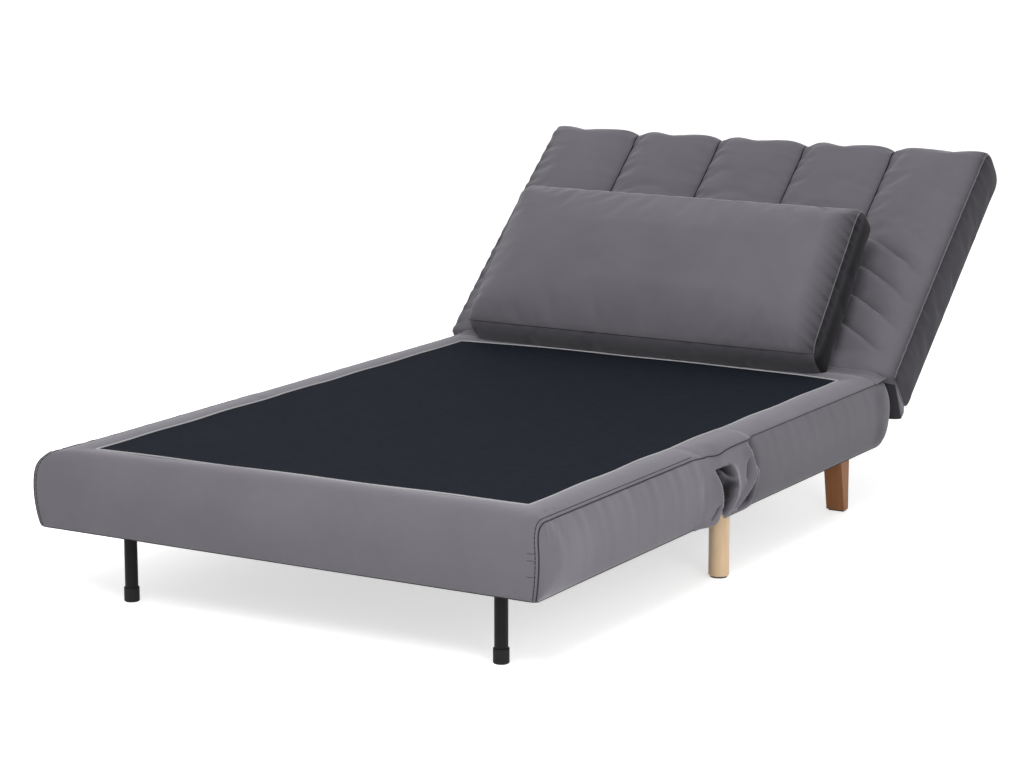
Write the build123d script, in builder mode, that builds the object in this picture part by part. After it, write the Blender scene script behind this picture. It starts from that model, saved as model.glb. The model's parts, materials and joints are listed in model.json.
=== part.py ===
"""Fold-out chair bed: two upholstered sections on a fold hinge, a channelled backrest and a loose pillow."""
import os
from math import cos, radians, sin

from build123d import *

os.makedirs("parts", exist_ok=True)

# Driving dimensions of the upholstered sections, in millimetres
WIDTH = 950.0
FRONT_LENGTH = 590.0
BASE_LENGTH = 718.0
UNDERSIDE = 138.0
PANEL_TOP = 258.0
BORDER_DROP = 8.0
EDGE_RADIUS = 24.0
SIDE_BULGE = 8.0
END_BULGE = 9.0
BOTTOM_RADIUS = 12.0
REAR_BOTTOM_RADIUS = 35.0
FRONT_CORNER_RADIUS = 20.0
FOLD_CORNER_RADIUS = 14.0
REAR_CORNER_RADIUS = 18.0
PLAN_BULGE = 5.0
CROWN_SHARE = 0.62
FOLD_GAP = 8.0

# Black cloth panel, the foam mat below it and the foam left around the frame
PANEL_WIDTH = 814.0
PANEL_FRONT_BORDER = 72.0
PANEL_REAR_BORDER = 88.0
PANEL_THICK = 2.0
PANEL_LAP = 10.0
MAT_THICK = 20.0
WALL = 28.0
FLOOR = 40.0

# Timber frame
RAIL_THICK = 22.0
SLAT_WIDTH = 53.0
SLAT_THICK = 12.0
FRONT_SLATS = 5
BASE_SLATS = 6
LINING_THICK = 2.0
LINING_INSET = 20.0

# Backrest
BACK_WIDTH = 960.0
BACK_LENGTH = 578.0
BACK_THICK = 92.0
BACK_ANGLE = 41.0
BACK_GAP = 4.0
CHANNELS = 5
CHANNEL_CROWN = 17.0
CHANNEL_SCALLOP = 7.0
SCALLOP_SPARE = 2.0
BACK_BELLY = 22.0
BACK_EDGE_RISE = 4.0
BACK_EDGE_RADIUS = 26.0
BACK_WALL = 24.0
BACK_RAIL_DEPTH = 45.0
BACK_PANEL_THICK = 3.0
BACK_SLATS = 3

# Loose pillow, measured along its own leaning face
PILLOW_WIDTH = 742.0
PILLOW_HEIGHT = 345.0
PILLOW_BOX = 95.0
PILLOW_LEAN = 9.0
PILLOW_SLUMP = 15.0
PILLOW_FRONT_CROWN = 34.0
PILLOW_SIDE_DRAW = 12.0
PILLOW_TOP_CROWN = 12.0
PILLOW_TOP_LEAN = 14.0
PILLOW_SETBACK = 16.0
PILLOW_LIFT = 3.0
PILLOW_EASE = 2.9
PILLOW_FULLNESS = 6.0

# Hardware
HINGE_LIFT = 2.5
HINGE_INSET = 175.0
HINGE_LENGTH = 70.0
LEAF_THICK = 2.0
LEAF_HEIGHT = 42.0
KNUCKLE_RADIUS = 3.2
HINGE_PIN_RADIUS = 1.6
RUNNING_CLEARANCE = 0.05
KNUCKLE_GAP = 0.4
PIVOT_Z = 250.0
PLATE_THICK = 4.0
PLATE_GAP = 0.5
PLATE_RADIUS = 13.0
PLATE_SPACE = 2.0
ARM_REACH = 150.0
PIVOT_PIN_RADIUS = 5.0
PIN_HEAD_RADIUS = 8.0
PIN_HEAD_THICK = 3.0
BOLT_RADIUS = 3.0
BOLT_GRIP = 16.0
BOLT_HEAD_RADIUS = 5.5
BOLT_HEAD_THICK = 3.0
BOLT_SHARES = (0.8, 1.0)

# Wooden legs
ROUND_LEG_RADIUS = 18.0
ROUND_LEG_INSET = 61.0
ROUND_LEG_Y = 139.0
REAR_LEG_SIDE_INSET = 85.0
REAR_LEG_INSET = 22.0
REAR_LEG_WIDTH = 36.0
REAR_LEG_TOP_DEPTH = 44.0
REAR_LEG_FOOT_DEPTH = 20.0
GLIDE_THICK = 3.0
GLIDE_INSET = 3.0
LEG_PLATE_WIDTH = 64.0
LEG_PLATE_DEPTH = 44.0
LEG_PLATE_THICK = 3.0
BLOCK_SIZE = 62.0
STUD_RADIUS = 4.0
STUD_LENGTH = 30.0
LEG_CHAMFER = 1.5
PLATE_SCREW_OFFSET = 6.0

# Folding metal front legs
TUBE_RADIUS = 11.0
TUBE_WALL = 1.5
CROSS_RADIUS = 9.0
FRONT_LEG_INSET = 118.0
LEG_AXIS_LIFT = 17.0
CHANNEL_SPACE = 6.0
CAP_RADIUS = 13.0
CAP_HEIGHT = 24.0
CAP_FLOOR = 5.0
CLIP_INSET = 117.0
CLIP_LENGTH = 30.0
CLIP_WALL = 4.0
CLIP_SCREW_GRIP = 8.0
SCREW_RADIUS = 2.5
SCREW_HEAD_RADIUS = 4.5
SCREW_HEAD_THICK = 2.0
SCREW_LENGTH = 24.0

# Gathered cloth at the joints
GUSSET_REACH = 92.0
GUSSET_DEPTH = 26.0
NOTCH_SHARE = 0.38
GUSSET_FOLDS = 3
GUSSET_PUFF = 8.0
SOFT_CLEAR = 0.4
SLING_THICK = 3.0
SLING_SAG = 16.0
SLING_DROP = 62.0
SLING_REACH = 60.0
SLING_INSET = 20.0

# Levels and places worked out from the driving dimensions
SIDES = (("left", -1), ("right", 1))
PAD_TOP = PANEL_TOP - PANEL_THICK
SEAM_Z = PAD_TOP - BORDER_DROP
MID_Z = (UNDERSIDE + SEAM_Z) / 2
HINGE_Z = PANEL_TOP + HINGE_LIFT
FLOOR_TOP = UNDERSIDE + FLOOR
MAT_BOTTOM = PAD_TOP - MAT_THICK
RAIL_HEIGHT = MAT_BOTTOM - FLOOR_TOP
RAIL_MID_Z = (MAT_BOTTOM + FLOOR_TOP) / 2
SIDE_X = WIDTH / 2 - SIDE_BULGE
FRAME_HALF = SIDE_X - WALL
RAIL_INNER = FRAME_HALF - RAIL_THICK
MAT_HALF = PANEL_WIDTH / 2 - PANEL_LAP
FAR = 2 * (FRONT_LENGTH + BASE_LENGTH)
HINGE_END_X = WIDTH / 2 - HINGE_INSET
HINGE_X = (-HINGE_END_X, 0.0, HINGE_END_X)
ROUND_LEG_X = WIDTH / 2 - ROUND_LEG_INSET
REAR_LEG_X = WIDTH / 2 - REAR_LEG_SIDE_INSET
FRONT_LEG_X = WIDTH / 2 - FRONT_LEG_INSET
CLIP_X = FRONT_LEG_X - CLIP_INSET

COS_BACK = cos(radians(BACK_ANGLE))
SIN_BACK = sin(radians(BACK_ANGLE))
BACK_END = BACK_GAP + BACK_LENGTH
BACK_TIP = BACK_END + SCALLOP_SPARE
REAR_REACH = (
    BASE_LENGTH
    + BACK_GAP
    + (BACK_TIP - BACK_EDGE_RADIUS) * COS_BACK
    + (BACK_THICK - BACK_EDGE_RADIUS) * SIN_BACK
    + BACK_EDGE_RADIUS
)
FOLD_Y = (FRONT_LENGTH - REAR_REACH) / 2
FRONT_Y = FOLD_Y - FRONT_LENGTH
FRONT_FOLD = FOLD_Y - FOLD_GAP / 2
BASE_FOLD = FOLD_Y + FOLD_GAP / 2
BASE_REAR = FOLD_Y + BASE_LENGTH
PIVOT_Y = BASE_REAR + BACK_GAP
PANEL_FRONT = FRONT_Y + PANEL_FRONT_BORDER
PANEL_REAR = BASE_REAR - PANEL_REAR_BORDER

# Planes of the leaning backrest: its face, its side and its cross section
SLOPE_DIR = (0, COS_BACK, SIN_BACK)
BACK_NORMAL = (0, -SIN_BACK, COS_BACK)
PIVOT = (0, PIVOT_Y, PIVOT_Z)
BACK_FACE = Plane(origin=PIVOT, x_dir=(1, 0, 0), z_dir=BACK_NORMAL)
BACK_SIDE = Plane(origin=PIVOT, x_dir=SLOPE_DIR, z_dir=(1, 0, 0))
BACK_CROSS = Plane(origin=PIVOT, x_dir=(1, 0, 0), z_dir=(0, -COS_BACK, -SIN_BACK))

# Planes of the leaning pillow, from its lower rear seam
PILLOW_TILT = BACK_ANGLE + PILLOW_LEAN
COS_PILLOW = cos(radians(PILLOW_TILT))
SIN_PILLOW = sin(radians(PILLOW_TILT))
PILLOW_Y = BASE_REAR - PILLOW_SETBACK
PILLOW_Z = SEAM_Z + PILLOW_LIFT
PILLOW_SEAT = (0, PILLOW_Y, PILLOW_Z)
PILLOW_FACE = Plane(origin=PILLOW_SEAT, x_dir=(1, 0, 0), z_dir=(0, -SIN_PILLOW, COS_PILLOW))
PILLOW_SIDE = Plane(origin=PILLOW_SEAT, x_dir=(0, COS_PILLOW, SIN_PILLOW), z_dir=(1, 0, 0))
PILLOW_CROSS = Plane(origin=PILLOW_SEAT, x_dir=(1, 0, 0), z_dir=(0, -COS_PILLOW, -SIN_PILLOW))

# The pillow's rear face swells until it leans on the crown of the backrest
pillow_mid = PILLOW_HEIGHT / 2 - PILLOW_SLUMP
seat_along = (PILLOW_Y - PIVOT_Y) * COS_BACK + (PILLOW_Z - PIVOT_Z) * SIN_BACK
seat_out = (PIVOT_Y - PILLOW_Y) * SIN_BACK + (PILLOW_Z - PIVOT_Z) * COS_BACK
lean_along = seat_along + pillow_mid * cos(radians(PILLOW_LEAN))
lean_out = seat_out + pillow_mid * sin(radians(PILLOW_LEAN))
crown_half = (BACK_TIP - BACK_GAP) / 2 - BACK_EDGE_RADIUS
crown_share = (lean_along - (BACK_GAP + BACK_TIP) / 2) / crown_half
crown_fall = (BACK_BELLY - BACK_EDGE_RISE) * crown_share**2
PILLOW_REAR_CROWN = lean_out - BACK_BELLY + crown_fall - PILLOW_EASE

# Steel recline plates: the base plate lies on the side rail, the back arm runs inside it
BASE_PLATE_X = RAIL_INNER - PLATE_THICK / 2
ARM_X = BASE_PLATE_X - PLATE_THICK - PLATE_GAP
STILE_INNER = ARM_X + PLATE_THICK / 2
STILE_OUTER = STILE_INNER + RAIL_THICK
PIN_ROOM_INNER = ARM_X - PLATE_THICK / 2 - PIN_HEAD_THICK - PLATE_SPACE
PIN_ROOM_OUTER = BASE_PLATE_X + PLATE_THICK / 2 + PIN_HEAD_THICK + PLATE_SPACE
FRAME_REAR = BASE_REAR - WALL
BACK_FRAME_REAR = -BACK_THICK + BACK_PANEL_THICK
BACK_FRAME_FRONT = BACK_FRAME_REAR + BACK_RAIL_DEPTH
BACK_FRAME_LOW = BACK_GAP + BACK_EDGE_RADIUS
BACK_FRAME_HIGH = BACK_END - BACK_EDGE_RADIUS - BACK_WALL
BASE_PLATE_END = (PIVOT_Y - ARM_REACH, RAIL_MID_Z)
ARM_END = (ARM_REACH, (BACK_FRAME_REAR + BACK_FRAME_FRONT) / 2)

# Metal leg axis, under the rail that carries it
LEG_RAIL_Y = PANEL_FRONT + PANEL_LAP + RAIL_THICK / 2
LEG_AXIS_Z = UNDERSIDE + LEG_AXIS_LIFT
CHANNEL_HALF = TUBE_RADIUS + CHANNEL_SPACE

# Wooden legs and the blocks that carry them
REAR_LEG_Y = BASE_REAR - REAR_LEG_INSET - REAR_LEG_TOP_DEPTH / 2
LEG_TOP = UNDERSIDE - LEG_PLATE_THICK
LEG_SPOTS = [
    (sign * x, y)
    for x, y in ((ROUND_LEG_X, FOLD_Y + ROUND_LEG_Y), (REAR_LEG_X, REAR_LEG_Y))
    for _, sign in SIDES
]
BLOCK_SPOTS = [
    (sign * x, y)
    for x, y in (
        (ROUND_LEG_X, FOLD_Y + ROUND_LEG_Y),
        (REAR_LEG_X, BASE_REAR - REAR_BOTTOM_RADIUS - BLOCK_SIZE / 2),
    )
    for _, sign in SIDES
]


def section_cross():
    """Crowned outline across a section, seen along its length."""
    edge_x = SIDE_X - EDGE_RADIUS
    foot_x = SIDE_X - BOTTOM_RADIUS
    with BuildSketch(Plane.XZ) as outline:
        with BuildLine():
            Line((0, UNDERSIDE), (foot_x, UNDERSIDE))
            CenterArc((foot_x, UNDERSIDE + BOTTOM_RADIUS), BOTTOM_RADIUS, 270, 90)
            ThreePointArc(
                (SIDE_X, UNDERSIDE + BOTTOM_RADIUS),
                (WIDTH / 2, MID_Z),
                (SIDE_X, SEAM_Z - EDGE_RADIUS),
            )
            CenterArc((edge_x, SEAM_Z - EDGE_RADIUS), EDGE_RADIUS, 0, 90)
            ThreePointArc(
                (edge_x, SEAM_Z),
                ((edge_x + PANEL_WIDTH / 2) / 2, SEAM_Z + CROWN_SHARE * BORDER_DROP),
                (PANEL_WIDTH / 2, PAD_TOP),
            )
            Line((PANEL_WIDTH / 2, PAD_TOP), (0, PAD_TOP))
            Line((0, PAD_TOP), (0, UNDERSIDE))
        make_face()
        mirror(about=Plane.YZ)
    return outline.sketch


def stadium(end, radius, plane):
    """Plate outline on a plane: a bar with round ends, from the plane's origin to a point."""
    with BuildSketch(plane) as outline:
        SlotCenterPoint((end[0] / 2, end[1] / 2), end, 2 * radius)
    return outline.sketch


def save(piece, name):
    """Label a finished piece and write it."""
    piece.part.label = name
    export_step(piece.part, f"parts/{name}.step")


# Front section: velvet pad with a tray for the frame and channels for the folded legs
front_seam = FRONT_Y + END_BULGE
with BuildPart() as front_pad:
    with BuildSketch(Plane.YZ):
        with BuildLine():
            CenterArc((FRONT_FOLD - BOTTOM_RADIUS, UNDERSIDE + BOTTOM_RADIUS), BOTTOM_RADIUS, 270, 90)
            Line((FRONT_FOLD - BOTTOM_RADIUS, UNDERSIDE), (front_seam + BOTTOM_RADIUS, UNDERSIDE))
            CenterArc((front_seam + BOTTOM_RADIUS, UNDERSIDE + BOTTOM_RADIUS), BOTTOM_RADIUS, 180, 90)
            ThreePointArc(
                (front_seam, UNDERSIDE + BOTTOM_RADIUS),
                (FRONT_Y, MID_Z),
                (front_seam, SEAM_Z - EDGE_RADIUS),
            )
            CenterArc((front_seam + EDGE_RADIUS, SEAM_Z - EDGE_RADIUS), EDGE_RADIUS, 90, 90)
            ThreePointArc(
                (front_seam + EDGE_RADIUS, SEAM_Z),
                ((front_seam + EDGE_RADIUS + PANEL_FRONT) / 2, SEAM_Z + CROWN_SHARE * BORDER_DROP),
                (PANEL_FRONT, PAD_TOP),
            )
            Line((PANEL_FRONT, PAD_TOP), (FRONT_FOLD, PAD_TOP))
            Line((FRONT_FOLD, PAD_TOP), (FRONT_FOLD, UNDERSIDE + BOTTOM_RADIUS))
        make_face()
    extrude(amount=WIDTH, both=True)
    extrude(section_cross(), amount=FAR, both=True, mode=Mode.INTERSECT)
    with BuildSketch(Plane.XY):
        with BuildLine():
            corner_x = WIDTH / 2 - FRONT_CORNER_RADIUS
            corner_y = FRONT_Y + PLAN_BULGE + FRONT_CORNER_RADIUS
            fold_x = WIDTH / 2 - FOLD_CORNER_RADIUS
            fold_y = FRONT_FOLD - FOLD_CORNER_RADIUS
            ThreePointArc((-corner_x, FRONT_Y + PLAN_BULGE), (0, FRONT_Y), (corner_x, FRONT_Y + PLAN_BULGE))
            CenterArc((corner_x, corner_y), FRONT_CORNER_RADIUS, 270, 90)
            Line((WIDTH / 2, corner_y), (WIDTH / 2, fold_y))
            CenterArc((fold_x, fold_y), FOLD_CORNER_RADIUS, 0, 90)
            Line((fold_x, FRONT_FOLD), (-fold_x, FRONT_FOLD))
            CenterArc((-fold_x, fold_y), FOLD_CORNER_RADIUS, 90, 90)
            Line((-WIDTH / 2, fold_y), (-WIDTH / 2, corner_y))
            CenterArc((-corner_x, corner_y), FRONT_CORNER_RADIUS, 180, 90)
        make_face()
    extrude(amount=2 * PANEL_TOP, mode=Mode.INTERSECT)
    # Tray for the frame, and the opening above it for the foam mat
    tray_front = front_seam + WALL
    with BuildSketch(Plane.XY.offset(FLOOR_TOP)):
        with Locations((0, (tray_front + FRONT_FOLD) / 2)):
            Rectangle(2 * FRAME_HALF, FRONT_FOLD - tray_front)
    extrude(amount=RAIL_HEIGHT, mode=Mode.SUBTRACT)
    mat_front = PANEL_FRONT + PANEL_LAP
    with BuildSketch(Plane.XY.offset(MAT_BOTTOM)):
        with Locations((0, (mat_front + FRONT_FOLD) / 2)):
            Rectangle(2 * MAT_HALF, FRONT_FOLD - mat_front)
    extrude(amount=MAT_THICK, mode=Mode.SUBTRACT)
    # Channels for the cross tube and the folded legs, and pockets for the clips
    stow = LEG_AXIS_Z + CHANNEL_SPACE
    with BuildSketch(Plane.XY.offset(UNDERSIDE)):
        with Locations((0, LEG_RAIL_Y)):
            Rectangle(2 * (FRONT_LEG_X + CHANNEL_HALF), 2 * CHANNEL_HALF)
        with Locations(*[(sign * FRONT_LEG_X, LEG_RAIL_Y + stow / 2) for _, sign in SIDES]):
            Rectangle(2 * CHANNEL_HALF, stow)
    extrude(amount=LEG_AXIS_LIFT + CHANNEL_HALF, mode=Mode.SUBTRACT)
    with BuildSketch(Plane.XY.offset(UNDERSIDE)):
        with Locations(*[(sign * CLIP_X, LEG_RAIL_Y) for _, sign in SIDES]):
            Rectangle(CLIP_LENGTH + CHANNEL_SPACE, 2 * CHANNEL_HALF)
    extrude(amount=FLOOR, mode=Mode.SUBTRACT)
save(front_pad, "front_pad")

# Base section: velvet pad, its front corners set back for the gathered cloth of the fold
with BuildPart() as base_pad:
    with BuildSketch(Plane.YZ):
        with BuildLine():
            CenterArc((BASE_FOLD + BOTTOM_RADIUS, UNDERSIDE + BOTTOM_RADIUS), BOTTOM_RADIUS, 180, 90)
            Line((BASE_FOLD + BOTTOM_RADIUS, UNDERSIDE), (BASE_REAR - REAR_BOTTOM_RADIUS, UNDERSIDE))
            CenterArc(
                (BASE_REAR - REAR_BOTTOM_RADIUS, UNDERSIDE + REAR_BOTTOM_RADIUS),
                REAR_BOTTOM_RADIUS,
                270,
                90,
            )
            Line((BASE_REAR, UNDERSIDE + REAR_BOTTOM_RADIUS), (BASE_REAR, SEAM_Z - EDGE_RADIUS))
            CenterArc((BASE_REAR - EDGE_RADIUS, SEAM_Z - EDGE_RADIUS), EDGE_RADIUS, 0, 90)
            ThreePointArc(
                (BASE_REAR - EDGE_RADIUS, SEAM_Z),
                ((BASE_REAR - EDGE_RADIUS + PANEL_REAR) / 2, SEAM_Z + CROWN_SHARE * BORDER_DROP),
                (PANEL_REAR, PAD_TOP),
            )
            Line((PANEL_REAR, PAD_TOP), (BASE_FOLD, PAD_TOP))
            Line((BASE_FOLD, PAD_TOP), (BASE_FOLD, UNDERSIDE + BOTTOM_RADIUS))
        make_face()
    extrude(amount=WIDTH, both=True)
    extrude(section_cross(), amount=FAR, both=True, mode=Mode.INTERSECT)
    with BuildSketch(Plane.XY):
        with BuildLine():
            notch_x = WIDTH / 2 - GUSSET_DEPTH
            notch_y = FOLD_Y + GUSSET_REACH
            notch_mid = (WIDTH / 2 - NOTCH_SHARE * GUSSET_DEPTH, FOLD_Y + GUSSET_REACH / 2)
            rear_x = WIDTH / 2 - REAR_CORNER_RADIUS
            rear_y = BASE_REAR - REAR_CORNER_RADIUS
            Line((0, BASE_FOLD), (notch_x, BASE_FOLD))
            ThreePointArc((notch_x, BASE_FOLD), notch_mid, (WIDTH / 2, notch_y))
            Line((WIDTH / 2, notch_y), (WIDTH / 2, rear_y))
            CenterArc((rear_x, rear_y), REAR_CORNER_RADIUS, 0, 90)
            Line((rear_x, BASE_REAR), (0, BASE_REAR))
            Line((0, BASE_REAR), (0, BASE_FOLD))
        make_face()
        mirror(about=Plane.YZ)
    extrude(amount=2 * PANEL_TOP, mode=Mode.INTERSECT)
    # Tray for the frame, the mat opening above it and the recess for the lining below
    with BuildSketch(Plane.XY.offset(FLOOR_TOP)):
        with Locations((0, (BASE_FOLD + FRAME_REAR) / 2)):
            Rectangle(2 * FRAME_HALF, FRAME_REAR - BASE_FOLD)
    extrude(amount=RAIL_HEIGHT, mode=Mode.SUBTRACT)
    mat_rear = PANEL_REAR - PANEL_LAP
    with BuildSketch(Plane.XY.offset(MAT_BOTTOM)):
        with Locations((0, (BASE_FOLD + mat_rear) / 2)):
            Rectangle(2 * MAT_HALF, mat_rear - BASE_FOLD)
    extrude(amount=MAT_THICK, mode=Mode.SUBTRACT)
    lining_front = BASE_FOLD + LINING_INSET
    lining_rear = BASE_REAR - REAR_BOTTOM_RADIUS
    lining_half = SIDE_X - LINING_INSET
    with BuildSketch(Plane.XY.offset(UNDERSIDE)):
        with Locations((0, (lining_front + lining_rear) / 2)):
            Rectangle(2 * lining_half, lining_rear - lining_front)
    extrude(amount=LINING_THICK, mode=Mode.SUBTRACT)
    # Pockets for the timber blocks that carry the legs
    with BuildSketch(Plane.XY.offset(UNDERSIDE)):
        with Locations(*BLOCK_SPOTS):
            Rectangle(BLOCK_SIZE, BLOCK_SIZE)
    extrude(amount=FLOOR, mode=Mode.SUBTRACT)
    # Slots for the recline plates and room for the turning pin
    for _, sign in SIDES:
        plate_plane = Plane(origin=(sign * BASE_PLATE_X, PIVOT_Y, PIVOT_Z), x_dir=(0, 1, 0), z_dir=(1, 0, 0))
        plate_end = (BASE_PLATE_END[0] - PIVOT_Y, BASE_PLATE_END[1] - PIVOT_Z)
        extrude(
            stadium(plate_end, PLATE_RADIUS + PLATE_SPACE, plate_plane),
            amount=PLATE_THICK / 2 + PLATE_GAP,
            both=True,
            mode=Mode.SUBTRACT,
        )
        with BuildSketch(plate_plane.offset(sign * ((PIN_ROOM_INNER + PIN_ROOM_OUTER) / 2 - BASE_PLATE_X))):
            Circle(PLATE_RADIUS + PLATE_SPACE)
        extrude(amount=(PIN_ROOM_OUTER - PIN_ROOM_INNER) / 2, both=True, mode=Mode.SUBTRACT)
save(base_pad, "base_pad")

# Black cloth panels and the foam mats that lie under them
PANEL_SPANS = {"front": (PANEL_FRONT, FRONT_FOLD), "base": (BASE_FOLD, PANEL_REAR)}
MAT_SPANS = {"front": (mat_front, FRONT_FOLD), "base": (BASE_FOLD, mat_rear)}
for section, (low_y, high_y) in PANEL_SPANS.items():
    with BuildPart() as panel:
        with BuildSketch(Plane.XY.offset(PAD_TOP)):
            with Locations((0, (low_y + high_y) / 2)):
                Rectangle(PANEL_WIDTH, high_y - low_y)
        extrude(amount=PANEL_THICK)
    save(panel, f"{section}_panel")
for section, (low_y, high_y) in MAT_SPANS.items():
    with BuildPart() as mat:
        with BuildSketch(Plane.XY.offset(MAT_BOTTOM)):
            with Locations((0, (low_y + high_y) / 2)):
                Rectangle(2 * MAT_HALF, high_y - low_y)
        extrude(amount=MAT_THICK)
    save(mat, f"{section}_mat")

# Timber frames: end rails across, side rails between or beside them, slats between the side rails
hinge_screw_z = HINGE_Z - LEAF_HEIGHT + SCREW_HEAD_RADIUS + LEAF_THICK
HINGE_SCREW_SPOTS = [
    (x + offset * HINGE_LENGTH / 3, hinge_screw_z) for x in HINGE_X for offset in (-1, 1)
]
END_RAILS = {
    "front_end_rail": (tray_front, tray_front + RAIL_THICK, FRAME_HALF),
    "front_fold_rail": (FRONT_FOLD - RAIL_THICK, FRONT_FOLD, FRAME_HALF),
    "leg_rail": (LEG_RAIL_Y - RAIL_THICK / 2, LEG_RAIL_Y + RAIL_THICK / 2, RAIL_INNER),
    "base_fold_rail": (BASE_FOLD, BASE_FOLD + RAIL_THICK, FRAME_HALF),
    "base_rear_rail": (FRAME_REAR - RAIL_THICK, FRAME_REAR, RAIL_INNER - PLATE_THICK),
}
CLIP_SCREW_SPOTS = [
    (sign * CLIP_X + end * CLIP_LENGTH / 4, LEG_RAIL_Y) for _, sign in SIDES for end in (-1, 1)
]
for name, (low_y, high_y, half_width) in END_RAILS.items():
    with BuildPart() as rail:
        with BuildSketch(Plane.XY.offset(FLOOR_TOP)):
            with Locations((0, (low_y + high_y) / 2)):
                Rectangle(2 * half_width, high_y - low_y)
        extrude(amount=RAIL_HEIGHT)
        if name.endswith("fold_rail"):
            with BuildSketch(Plane.XZ.offset(-FOLD_Y)):
                with Locations(*HINGE_SCREW_SPOTS):
                    Circle(SCREW_RADIUS)
            extrude(amount=FOLD_GAP / 2 + SCREW_LENGTH, both=True, mode=Mode.SUBTRACT)
        if name == "leg_rail":
            with BuildSketch(Plane.XY.offset(FLOOR_TOP)):
                with Locations(*CLIP_SCREW_SPOTS):
                    Circle(SCREW_RADIUS)
            extrude(amount=SCREW_LENGTH, mode=Mode.SUBTRACT)
    save(rail, name)

SIDE_RAILS = {
    "front": (tray_front + RAIL_THICK, FRONT_FOLD - RAIL_THICK),
    "base": (BASE_FOLD + RAIL_THICK, FRAME_REAR),
}
BASE_BOLT_SPOTS = [
    (PIVOT_Y + share * (BASE_PLATE_END[0] - PIVOT_Y), PIVOT_Z + share * (BASE_PLATE_END[1] - PIVOT_Z))
    for share in BOLT_SHARES
]
for section, (low_y, high_y) in SIDE_RAILS.items():
    for side, sign in SIDES:
        with BuildPart() as rail:
            with BuildSketch(Plane.XY.offset(FLOOR_TOP)):
                with Locations((sign * (FRAME_HALF + RAIL_INNER) / 2, (low_y + high_y) / 2)):
                    Rectangle(RAIL_THICK, high_y - low_y)
            extrude(amount=RAIL_HEIGHT)
            if section == "base":
                with BuildSketch(Plane.YZ.offset(sign * RAIL_INNER)):
                    with Locations(*BASE_BOLT_SPOTS):
                        Circle(BOLT_RADIUS)
                extrude(amount=sign * BOLT_GRIP, mode=Mode.SUBTRACT)
        save(rail, f"{section}_side_rail_{side}")

SLAT_RUNS = {
    "front": (LEG_RAIL_Y + RAIL_THICK / 2, FRONT_FOLD - RAIL_THICK, FRONT_SLATS),
    "base": (BASE_FOLD + RAIL_THICK, FRAME_REAR - ARM_REACH, BASE_SLATS),
}
for section, (low_y, high_y, count) in SLAT_RUNS.items():
    pitch = (high_y - low_y) / count
    with BuildPart() as slats:
        with BuildSketch(Plane.XY.offset(MAT_BOTTOM - SLAT_THICK)):
            with Locations(*[(0, low_y + (index + 0.5) * pitch) for index in range(count)]):
                Rectangle(2 * RAIL_INNER, SLAT_WIDTH)
        extrude(amount=SLAT_THICK)
    save(slats, f"{section}_slats")

# Lining under the base, with holes for the leg studs and screws
LEG_SCREW_SPOTS = [
    (x + dx * (LEG_PLATE_WIDTH / 2 - SCREW_HEAD_RADIUS - LEG_PLATE_THICK), y - dx * PLATE_SCREW_OFFSET)
    for x, y in LEG_SPOTS
    for dx in (-1, 1)
]
with BuildPart() as base_lining:
    with BuildSketch(Plane.XY.offset(UNDERSIDE)):
        with Locations((0, (lining_front + lining_rear) / 2)):
            Rectangle(2 * lining_half, lining_rear - lining_front)
        with Locations(*LEG_SPOTS):
            Circle(STUD_RADIUS, mode=Mode.SUBTRACT)
        with Locations(*LEG_SCREW_SPOTS):
            Circle(SCREW_RADIUS, mode=Mode.SUBTRACT)
    extrude(amount=LINING_THICK)
save(base_lining, "base_lining")

# Blocks, plates, studs and screws that hold the wooden legs
with BuildPart() as leg_blocks:
    with BuildSketch(Plane.XY.offset(UNDERSIDE + LINING_THICK)):
        with Locations(*BLOCK_SPOTS):
            Rectangle(BLOCK_SIZE, BLOCK_SIZE)
        with Locations(*LEG_SPOTS):
            Circle(STUD_RADIUS, mode=Mode.SUBTRACT)
        with Locations(*LEG_SCREW_SPOTS):
            Circle(SCREW_RADIUS, mode=Mode.SUBTRACT)
    extrude(amount=FLOOR - LINING_THICK)
save(leg_blocks, "leg_blocks")

with BuildPart() as leg_plates:
    with BuildSketch(Plane.XY.offset(LEG_TOP)):
        with Locations(*LEG_SPOTS):
            RectangleRounded(LEG_PLATE_WIDTH, LEG_PLATE_DEPTH, LEG_PLATE_THICK)
            Circle(STUD_RADIUS, mode=Mode.SUBTRACT)
        with Locations(*LEG_SCREW_SPOTS):
            Circle(SCREW_RADIUS, mode=Mode.SUBTRACT)
    extrude(amount=LEG_PLATE_THICK)
save(leg_plates, "leg_plates")

with BuildPart() as leg_studs:
    with BuildSketch(Plane.XY.offset(LEG_TOP - STUD_LENGTH)):
        with Locations(*LEG_SPOTS):
            Circle(STUD_RADIUS)
    extrude(amount=STUD_LENGTH + LEG_PLATE_THICK + FLOOR)
save(leg_studs, "leg_studs")

with BuildPart() as leg_screws:
    with BuildSketch(Plane.XY.offset(LEG_TOP)):
        with Locations(*LEG_SCREW_SPOTS):
            Circle(SCREW_RADIUS)
    extrude(amount=SCREW_LENGTH)
    with BuildSketch(Plane.XY.offset(LEG_TOP)):
        with Locations(*LEG_SCREW_SPOTS):
            Circle(SCREW_HEAD_RADIUS)
    extrude(amount=-SCREW_HEAD_THICK)
save(leg_screws, "leg_screws")

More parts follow.
